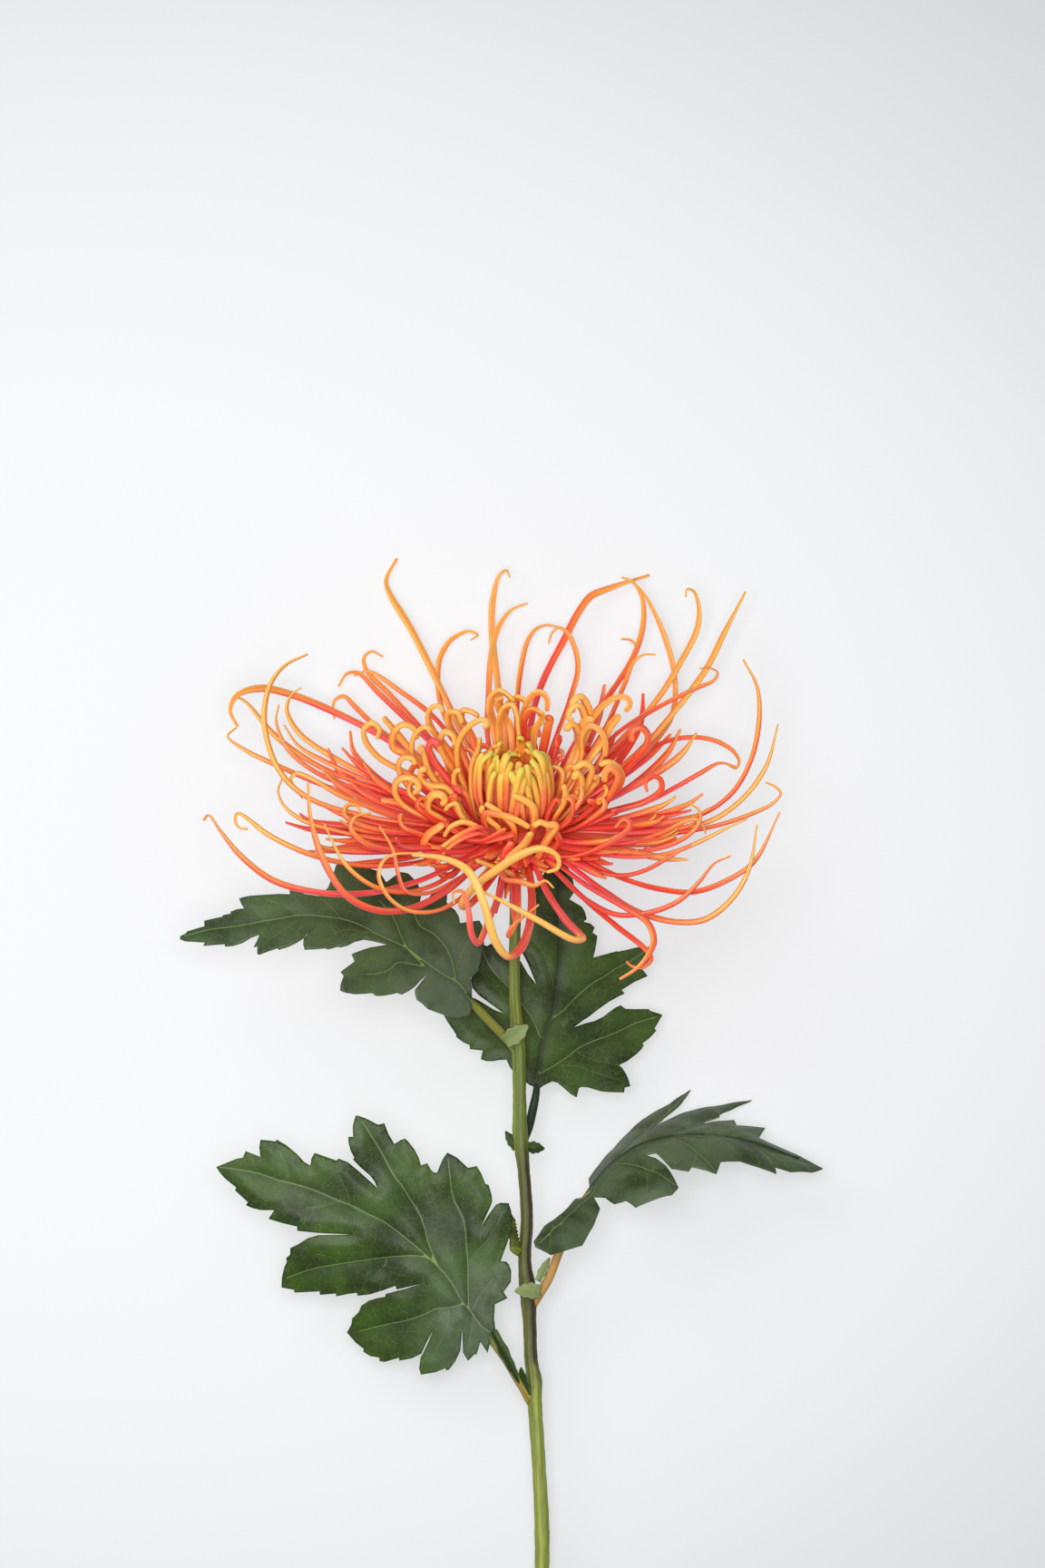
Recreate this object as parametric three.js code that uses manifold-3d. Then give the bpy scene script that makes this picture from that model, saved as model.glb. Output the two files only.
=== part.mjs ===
// Spider chrysanthemum, one cut flower laid down: stem, four leaves, calyx, bloom and eye.
//
// Everything is modelled in the flower's own frame, in millimetres: X to the right, Y up the stem,
// Z out of the front, with the origin in the middle of the receptacle. The exported group then
// tips the whole flower so that it lies on its back florets and on the cut end of its stem,
// with +Z up and the origin on the surface under the middle of its bounding box.

import * as THREE from "three";
import { mergeVertices } from "three/addons/utils/BufferGeometryUtils.js";
import Module from "manifold-3d";

const wasm = await Module();
wasm.setup();

// ---- Driving dimensions ----

const BLOOM_TILT = THREE.MathUtils.degToRad(29); // the bloom nods this far out of the stem's line
const HEAD_LIFT = THREE.MathUtils.degToRad(8); // the stem rises this much from its cut end
const CLEARANCE = 0.3; // between neighbouring solids
const LEAF_THICKNESS = 0.7;
const LONG_SIDES = 4; // sides of a long floret's section
const SHORT_SIDES = 3; // sides of a hooked floret's section, and of one in a fan
const EYE_SIDES = 4;
const MAX_TURN = THREE.MathUtils.degToRad(34); // a floret's centreline turns at most this per step
const MAX_STEP = 22; // and runs at most this far

const vec = (x, y, z) => new THREE.Vector3(x, y, z);
const { sin, cos, PI, hypot, max, min } = Math;

const lerp = THREE.MathUtils.lerp;

// A repeatable number from 0 to 1 for item i of a set and its property k.
function chance(i, k) {
  const value = sin(i * 12.9898 + k * 78.233) * 43758.5453;
  return value - Math.floor(value);
}
const between = (low, high, i, k) => low + (high - low) * chance(i, k);

// ---- The bloom's own axes ----

const AXIS = vec(0, cos(BLOOM_TILT), sin(BLOOM_TILT));
const BACK = vec(0, sin(BLOOM_TILT), -cos(BLOOM_TILT));

// A point at a turn round the bloom's axis, a radius from it and a height along it.
function inBloom(turn, radius, height) {
  return vec(radius * cos(turn), 0, 0)
    .addScaledVector(BACK, radius * sin(turn))
    .addScaledVector(AXIS, height);
}

// ---- Meshes and solids ----

function geometryOf(vertices, triangles) {
  const geometry = new THREE.BufferGeometry();
  const numbers = vertices.flatMap((v) => v.toArray());
  geometry.setAttribute("position", new THREE.Float32BufferAttribute(numbers, 3));
  geometry.setIndex(triangles.flat());
  return geometry;
}

function solid(geometry) {
  const bare = new THREE.BufferGeometry();
  bare.setAttribute("position", geometry.getAttribute("position"));
  bare.setIndex(geometry.getIndex());
  const merged = mergeVertices(bare, 1e-4);
  return new wasm.Manifold(
    new wasm.Mesh({
      numProp: 3,
      vertProperties: new Float32Array(merged.attributes.position.array),
      triVerts: new Uint32Array(merged.index.array),
    }),
  );
}

// The pieces joined, with any scrap that hangs free dropped.
function fuse(pieces) {
  const bodies = wasm.Manifold.union(pieces).simplify(0.02).decompose();
  return bodies.sort((a, b) => b.volume() - a.volume())[0];
}

function meshOf(name, body, material) {
  const { vertProperties, triVerts, numProp } = body.getMesh();
  const position = new Float32Array((vertProperties.length / numProp) * 3);
  for (let i = 0; i < position.length / 3; i++) {
    position.set(vertProperties.subarray(i * numProp, i * numProp + 3), i * 3);
  }
  const geometry = new THREE.BufferGeometry();
  geometry.setAttribute("position", new THREE.BufferAttribute(position, 3));
  geometry.setIndex(new THREE.BufferAttribute(new Uint32Array(triVerts), 1));
  geometry.computeVertexNormals();
  const mesh = new THREE.Mesh(geometry, material);
  mesh.name = name;
  return mesh;
}

// ---- Tubes along a curve ----

// Stations along a smooth curve through the points: few where it runs straight, more in a hook.
function stations(points, maxTurn = MAX_TURN, maxStep = MAX_STEP) {
  const curve = new THREE.CatmullRomCurve3(points, false, "centripetal");
  const fine = 24 * points.length;
  const at = Array.from({ length: fine + 1 }, (_, i) => curve.getPoint(i / fine));
  const length = [0];
  for (let i = 1; i <= fine; i++) length.push(length[i - 1] + at[i].distanceTo(at[i - 1]));
  const picked = [0];
  let turned = 0;
  for (let i = 1; i < fine; i++) {
    const before = at[i].clone().sub(at[i - 1]);
    const after = at[i + 1].clone().sub(at[i]);
    turned += before.angleTo(after);
    if (turned > maxTurn || length[i] - length[picked.at(-1)] > maxStep) {
      picked.push(i);
      turned = 0;
    }
  }
  if (length[fine] - length[picked.at(-1)] < 1.2 && picked.length > 2) picked.pop();
  picked.push(fine);
  return picked.map((i) => ({ point: at[i], share: length[i] / length[fine] }));
}

// A closed tube through the stations. radius(share) is its half width, and it ends in a point.
function tube(path, radius, sides) {
  const vertices = [];
  const triangles = [];
  let across = null;
  const last = path.length - 1;
  path.forEach(({ point, share }, i) => {
    const ahead = path[min(i + 1, last)].point.clone().sub(path[max(i - 1, 0)].point).normalize();
    if (!across) across = vec(0, 0, 1).cross(ahead).length() > 0.2 ? vec(0, 0, 1) : vec(1, 0, 0);
    across = across.clone().addScaledVector(ahead, -across.dot(ahead)).normalize();
    const over = ahead.clone().cross(across);
    if (i === last) {
      vertices.push(point);
      return;
    }
    for (let k = 0; k < sides; k++) {
      const a = (2 * PI * k) / sides;
      const r = radius(share);
      vertices.push(point.clone().addScaledVector(across, r * cos(a)).addScaledVector(over, r * sin(a)));
    }
  });
  for (let k = 1; k < sides - 1; k++) triangles.push([0, k + 1, k]);
  for (let i = 0; i < last; i++) {
    for (let k = 0; k < sides; k++) {
      const next = (k + 1) % sides;
      const [a, b] = [i * sides + k, i * sides + next];
      if (i === last - 1) triangles.push([a, b, last * sides]);
      else triangles.push([a, b, b + sides], [a, b + sides, a + sides]);
    }
  }
  return solid(geometryOf(vertices, triangles));
}

// ---- Long florets ----

// Each has its width and the points that its centreline runs through, from near the root to the tip.
const LONG_FLORETS = [
  // at the back
  [2.0, [[-20, 38, -31], [-29, 56, -40], [-35, 66, -45], [-36, 70, -48], [-33, 76, -50]]],
  [1.5, [
    [-20, 33, -27], [-21.5, 41, -33], [-21, 48, -37], [-18, 53, -39], [-13, 55.5, -40], [-10.5, 54.5, -39],
    [-12.5, 53, -37],
  ]],
  [1.9, [
    [-4.5, 38, -30], [-5.5, 46, -35], [-6.5, 55, -40], [-6.3, 64, -43], [-4.5, 71, -44], [-2.5, 72.5, -43],
    [-1.5, 70.5, -41],
  ]],
  [1.7, [
    [-7.5, 25, -20], [-7.5, 36, -29], [-6.5, 50, -37], [-4.5, 57, -40], [-1, 61.5, -41], [3.5, 63.3, -40],
  ]],
  [1.5, [
    [0.5, 35, -26], [1.5, 45, -33], [3.5, 53, -38], [6, 56.3, -40], [9, 57.2, -41], [12.5, 56.5, -41],
  ]],
  [1.5, [
    [9, 20, -14], [15, 36, -26], [17.4, 45, -31], [16.5, 51, -34], [14.5, 55, -36], [12, 56.5, -37],
    [10.2, 55, -37], [9.3, 52, -36],
  ]],
  [2.1, [
    [6, 37, -28], [14, 54, -38], [18, 61.5, -42], [21, 65.3, -44], [26, 67.5, -46], [37.5, 71.3, -49],
  ]],
  [1.7, [
    [22, 32, -20], [29, 42, -27], [33.5, 50, -32], [35.6, 58, -36], [35.2, 65, -39], [32.5, 69.4, -41],
    [29.5, 70.5, -41],
  ]],
  [1.6, [
    [20, 10, -8], [36, 22, -20], [43.5, 32, -31], [44.4, 42, -35], [41.5, 54, -37], [36, 65.5, -36],
    [32, 69.8, -34],
  ]],
  [1.8, [
    [28, 24, -16], [39, 36, -24], [46, 47, -30], [50.5, 56, -32], [51, 62, -32], [49.5, 66.6, -31],
    [47.6, 67, -30], [47.4, 64.8, -29],
  ]],
  [1.9, [[33, 21, -13], [44, 33, -20], [53, 45, -24], [58, 55, -27], [64, 66.5, -29]]],
  [1.5, [
    [27, 26, -13], [40, 34.5, -20], [50, 39.5, -22], [55, 41.7, -23], [56, 43.8, -22], [54, 45, -21],
    [51, 45, -20],
  ]],
  [1.6, [[20, 30, -22], [27, 39, -28], [32, 47, -32], [33.5, 51.5, -33], [32, 53, -33], [29.3, 53.3, -32]]],
  [1.4, [[24, 27, -17], [30, 40, -26], [33, 47, -29], [35.5, 48.8, -29], [39, 48.9, -28]]],
  // to the right
  [1.5, [
    [14, 8, -9], [27, 16.5, -17], [37, 22.7, -22], [43.5, 25.3, -24], [50, 26, -24], [56, 24.8, -22],
    [60.5, 22, -20], [62, 19, -18], [61, 17.3, -17], [58.5, 18.5, -16],
  ]],
  [1.6, [[20, 3, -2], [36, 8, -3], [44, 12, -5], [51, 16, -6], [56.5, 18.8, -7], [61, 17.8, -7]]],
  [2, [
    [16, 3, -1], [28, 6, -2], [36, 8.3, -2], [40.2, 11.5, -1], [39.8, 14.3, 0], [37.3, 15, 1],
    [35.9, 13, 2], [36.4, 10.8, 2],
  ]],
  [1.7, [
    [22, 1, 0], [40, 2, 1], [52, 5, 3], [60, 11, 4], [65, 20, 3], [67.2, 31, 0], [66.6, 40, -2],
    [62.8, 47.5, -3],
  ]],
  [1.7, [[20, -1, 2], [40, 0, 4], [54, 3, 6], [63, 9.5, 8], [69, 18, 9], [72.3, 29.5, 7]]],
  [1.5, [
    [20, -2, 4], [40, -1, 8], [54, 1.3, 12], [64, 4.5, 15], [71, 8, 17], [72.8, 10.5, 17], [71.5, 12.2, 16],
    [68.7, 13.5, 14],
  ]],
  [1.7, [
    [20, -4, 8], [32, -3, 12], [41, 0, 15], [47, 3, 17], [50, 3.3, 18], [51.6, 1.6, 18], [52.3, -0.8, 17],
  ]],
  [1.7, [
    [20, -5, 10], [34, -5.5, 16], [44, -3, 19], [49.3, 0.7, 20], [50.8, 3.8, 20], [50, 6.3, 19],
    [47.5, 7.7, 18],
  ]],
  [1.5, [[20, -6, 13], [32, -7, 19], [42, -6, 23], [50, -3, 25], [57, 0.5, 26], [63.5, 3.4, 26]]],
  [1.6, [[14, -7, 14], [22, -10.5, 24], [29, -12, 31], [35, -10.7, 35], [41, -7.6, 37], [48, -3.5, 38]]],
  // to the front right
  [1.9, [
    [16, -6.8, 16], [30, -13, 30], [40, -15.7, 38], [49, -16.3, 44], [58, -13, 48], [65, -8, 50],
    [72, 5.5, 52],
  ]],
  [2.0, [
    [12, -7.5, 15], [24, -16, 32], [34, -22, 44], [44, -24.5, 50], [52, -23.6, 54], [59, -18, 56],
    [63.5, -10, 57], [65.7, 2, 56],
  ]],
  [1.8, [
    [10, -10, 20], [20, -19, 38], [28, -22.6, 46], [37, -21.8, 50], [44.5, -18.7, 53], [50, -13.5, 54],
    [54, -8.6, 54], [58.7, -6.5, 53],
  ]],
  [1.7, [
    [10, -10, 18], [20, -19.3, 35], [28, -26, 48], [35.5, -32, 57], [37, -34.5, 58], [35, -36.7, 58],
    [32, -36.6, 57], [30.2, -35.2, 55],
  ]],
  [1.8, [
    [10, -8, 16], [20, -15, 32], [31, -21.3, 47], [36.3, -25, 54], [37.7, -29.5, 57], [36.2, -33.3, 60],
    [33, -37, 61], [28.3, -40, 62],
  ]],
  [2, [
    [8, -6, 12], [16, -6.8, 21], [24, -4, 27], [30, -0.2, 30], [31.5, 2, 31], [29.8, 3.4, 31],
    [27.3, 1, 30],
  ]],
  // to the front
  [2.7, [
    [3, -8, 16], [4.5, -17, 35], [4, -25, 50], [1.2, -32, 61], [-2, -33.7, 66], [-5.3, -29.5, 70],
    [-8.5, -19, 72], [-12.5, -10.7, 71], [-19, -7.2, 68], [-28, -6.2, 63],
  ]],
  [2.3, [
    [5, -9, 18], [9, -17, 34], [14, -24.3, 49], [18.2, -29, 60], [15.5, -29, 63], [6, -23.7, 65],
    [-4, -18.4, 65], [-11, -15, 63],
  ]],
  [2, [
    [-3, -8, 14], [-8, -15, 28], [-13, -20.3, 40], [-14.5, -20, 45], [-11.5, -15.3, 50], [-6, -11, 54],
    [1, -6.5, 57], [7, -4.5, 58], [11.5, -6.6, 57], [11.6, -9.8, 56], [8.5, -11, 55],
  ]],
  [1.9, [
    [-2, -8, 15], [-4.5, -17, 34], [-7.5, -25, 50], [-10.3, -30.3, 60], [-12, -27, 64], [-12.6, -21.5, 65],
    [-14.3, -16.2, 64], [-16.8, -16.6, 62], [-16.5, -19.5, 60],
  ]],
  [2.1, [[0, -8, 16], [1, -17, 36], [0.3, -24.5, 52], [-1.8, -28.3, 60], [-1, -26, 63], [6.5, -19.7, 60]]],
  [2.0, [
    [-2, -6, 14], [-4, -10, 26], [-2.5, -13, 34], [1.5, -13.6, 40], [5.5, -14.6, 43], [8.3, -13.3, 44],
    [10.6, -15.4, 44],
  ]],
  // to the front left
  [1.5, [
    [-8, -11, 22], [-16, -19, 38], [-23, -21.8, 47], [-30, -21, 53], [-35.3, -16.5, 57], [-37, -11, 58],
    [-34.6, -6.8, 57], [-25, -5.7, 55],
  ]],
  [2.5, [
    [-10, -9, 18], [-20, -17, 34], [-29, -21, 44], [-38, -21.2, 51], [-46, -17, 55], [-52, -7.5, 57],
    [-55.5, 4, 57], [-56.2, 13.5, 56],
  ]],
  [1.7, [[-12, -8, 15], [-22, -14.5, 28], [-31, -16.5, 37], [-39, -14.6, 43], [-46, -9, 46], [-52, 2, 46]]],
  [1.4, [
    [-14, -12, 22], [-24, -16.8, 34], [-30, -16, 40], [-32, -11, 42], [-33.3, -5, 42], [-37, 1.5, 40],
  ]],
  [2, [
    [-14, -8, 14], [-27, -13.7, 26], [-40, -16.7, 35], [-53, -16.6, 40], [-66, -13.2, 43], [-75, -6.2, 45],
    [-80.5, 0.6, 45], [-83.6, 4.6, 44], [-85, 3, 43],
  ]],
  [1.8, [
    [-14, -5, 10], [-27, -8.5, 19], [-42, -9.3, 26], [-56, -6.2, 30], [-67, -1.1, 31], [-75.8, 5, 30],
    [-76.6, 3, 31], [-75.3, 1, 32], [-73, 0.7, 32],
  ]],
  [2.1, [
    [-15, -5, 12], [-26, -6, 20], [-35, -5, 25], [-42, -2.5, 29], [-44.9, 1.2, 30], [-43.8, 3.9, 30],
    [-39.3, 5, 28],
  ]],
  [2.0, [
    [-18, -1, 4], [-32, -0.3, 10], [-42, 1.6, 15], [-46.8, 4.6, 17], [-46, 7.1, 16], [-43.3, 6.9, 15],
    [-42.3, 4.8, 15],
  ]],
  // to the left
  [1.5, [
    [-18, -3, 8], [-34, -2.5, 16], [-48, 0, 20], [-58, 3, 22], [-63.3, 7, 22], [-65, 11, 21],
    [-64, 14.3, 19],
  ]],
  [1.6, [
    [-20, 1.5, 0], [-36, 5.4, 2], [-48, 9.8, 4], [-56, 14.5, 5], [-60.3, 16, 5], [-61.8, 14.3, 5],
    [-58.5, 9, 7],
  ]],
  [1.7, [
    [-20, 3, -3], [-36, 7, -5], [-52, 12.3, -6], [-66, 18.3, -5], [-74.5, 22.4, -4], [-79.3, 26.2, -3],
    [-76.8, 28.7, -4],
  ]],
  [1.8, [
    [-20, 5, -5], [-38, 11.5, -10], [-54, 17.8, -14], [-66, 26, -16], [-75, 36, -16], [-77.3, 36.8, -16],
    [-78.6, 34.3, -15],
  ]],
  [1.9, [
    [-20, 1, 2], [-40, 4, 6], [-57, 9.3, 9], [-65, 17, 9], [-69, 30, 8], [-67.5, 40, 7], [-63.5, 45.5, 6],
    [-57, 48.8, 5],
  ]],
  [2.3, [
    [-14, 11, -14], [-28, 21, -24], [-46, 31, -28], [-62, 37.8, -24], [-71, 39.5, -19], [-77.3, 37.2, -14],
    [-78.8, 33, -12], [-76.6, 28.8, -11],
  ]],
  [1.8, [
    [-20, 7, -6], [-34, 12.4, -12], [-50, 20.2, -17], [-60, 27.3, -18], [-63.2, 33.5, -17],
    [-62, 37.5, -16], [-59.2, 39.6, -14],
  ]],
  [1.6, [[-20, 4, -3], [-38, 9.6, -5], [-55, 16.3, -6], [-63, 23, -6], [-66, 30.5, -6], [-65.2, 35, -7]]],
  [1.5, [[-20, 6, -5], [-38, 12.8, -9], [-52, 19, -12], [-60, 23.6, -13], [-64, 29.4, -13]]],
  // to the back left
  [1.6, [
    [-14, 12, -14], [-27, 21, -23], [-38, 28.3, -29], [-44.3, 34.3, -31], [-47.7, 37.4, -31],
    [-50.3, 36, -30], [-50.2, 31, -28],
  ]],
  [1.7, [
    [-12, 14, -16], [-24, 25, -26], [-38, 38.4, -35], [-43.7, 43.9, -37], [-46.8, 43.7, -36],
    [-49.2, 40, -35],
  ]],
  [1.6, [
    [-12, 13, -17], [-22, 24, -27], [-35, 38, -38], [-41.6, 45, -42], [-42.1, 48.2, -43], [-40, 49.9, -42],
    [-36.8, 48.4, -40],
  ]],
  [1.5, [[-12, 17, -20], [-22, 31, -31], [-32, 38.8, -37], [-41, 44.4, -41], [-45, 43, -40]]],
  // short ones that hang in front of the stem
  [2, [[-3, -9, 15.6], [-3.8, -14, 18.5], [-4.6, -18.5, 20.6], [-5.3, -22.5, 21.8]]],
  [1.8, [[-1, -9, 14.4], [-1.8, -13.5, 16.5], [-2.8, -18.5, 18.3]]],
  [1.8, [[-0.8, -10, 15], [-0.5, -16, 18], [-0.3, -22, 21], [0, -27, 23.5]]],
  [2.2, [[7.5, -6, 17.3], [7, -10, 16.2], [6.3, -13.5, 15.4]]],
];

// More florets lie among and under those, in fans round the bloom. from and to are in degrees
// round the axis, and rise is how far the tips come up.
const FANS = [
  { from: -26, to: 6, count: 8, length: 52, rise: 5 },
  { from: 28, to: 62, count: 4, length: 60, rise: 12 },
  { from: 150, to: 172, count: 4, length: 54, rise: 10 },
  { from: 176, to: 214, count: 8, length: 58, rise: 6 },
  { from: 216, to: 236, count: 4, length: 36, rise: 4 },
  { from: 236, to: 304, count: 9, length: 26, rise: 0.5 },
  { from: 302, to: 332, count: 4, length: 40, rise: 3 },
];

// The centreline of floret i of a fan, leaving the receptacle at a turn round the bloom's axis.
function fanFloret(turn, i, fan) {
  const length = fan.length * between(0.72, 1.05, i, 1);
  const lift = fan.length * between(0.02, 0.1, i, 2);
  const rise = fan.rise * between(0.5, 1.3, i, 3);
  const sway = between(-0.12, 0.12, i, 4);
  return [
    inBloom(turn, length * 0.28, lift * 0.2),
    inBloom(turn + sway * 0.4, length * 0.64, lift * 0.7),
    inBloom(turn + sway, length * 0.94, lift + rise * 0.5),
    inBloom(turn + sway * 1.2, length * between(0.98, 1.06, i, 5), lift + rise),
  ];
}

const ROOT_RADIUS = 6; // florets start on this ring inside the receptacle
const ROOT_HEIGHT = -2.5;

// The root that a centreline through these points grows from.
function rootTowards(point) {
  const turn = Math.atan2(point.dot(BACK), point.x);
  return inBloom(turn, ROOT_RADIUS, ROOT_HEIGHT);
}

// A floret is slim at its root, widest past the middle and tapers to its tip.
function floretRadius(width) {
  return (share) => {
    const swelling = lerp(0.82, 1.12, min(share / 0.7, 1));
    const taper = share < 0.8 ? 1 : lerp(1, 0.45, (share - 0.8) / 0.2);
    return (width / 2) * swelling * taper;
  };
}

function longFlorets() {
  return LONG_FLORETS.map(([width, points]) => {
    const path = points.map((p) => vec(...p));
    return tube(stations([rootTowards(path[0]), ...path]), floretRadius(width), LONG_SIDES);
  });
}

function fanFlorets() {
  const florets = [];
  for (const fan of FANS) {
    for (let k = 0; k < fan.count; k++) {
      const i = florets.length;
      const degrees = lerp(fan.from, fan.to, (k + 0.5) / fan.count) + between(-3, 3, i, 6);
      const path = fanFloret(THREE.MathUtils.degToRad(degrees), i, fan);
      const radius = floretRadius(between(1.8, 2.2, i, 7));
      florets.push(tube(stations([rootTowards(path[0]), ...path]), radius, SHORT_SIDES));
    }
  }
  return florets;
}

// ---- Hooked florets round the eye ----

const HOOK_TURN = THREE.MathUtils.degToRad(55);
const HOOK_STEP = 18;

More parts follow.
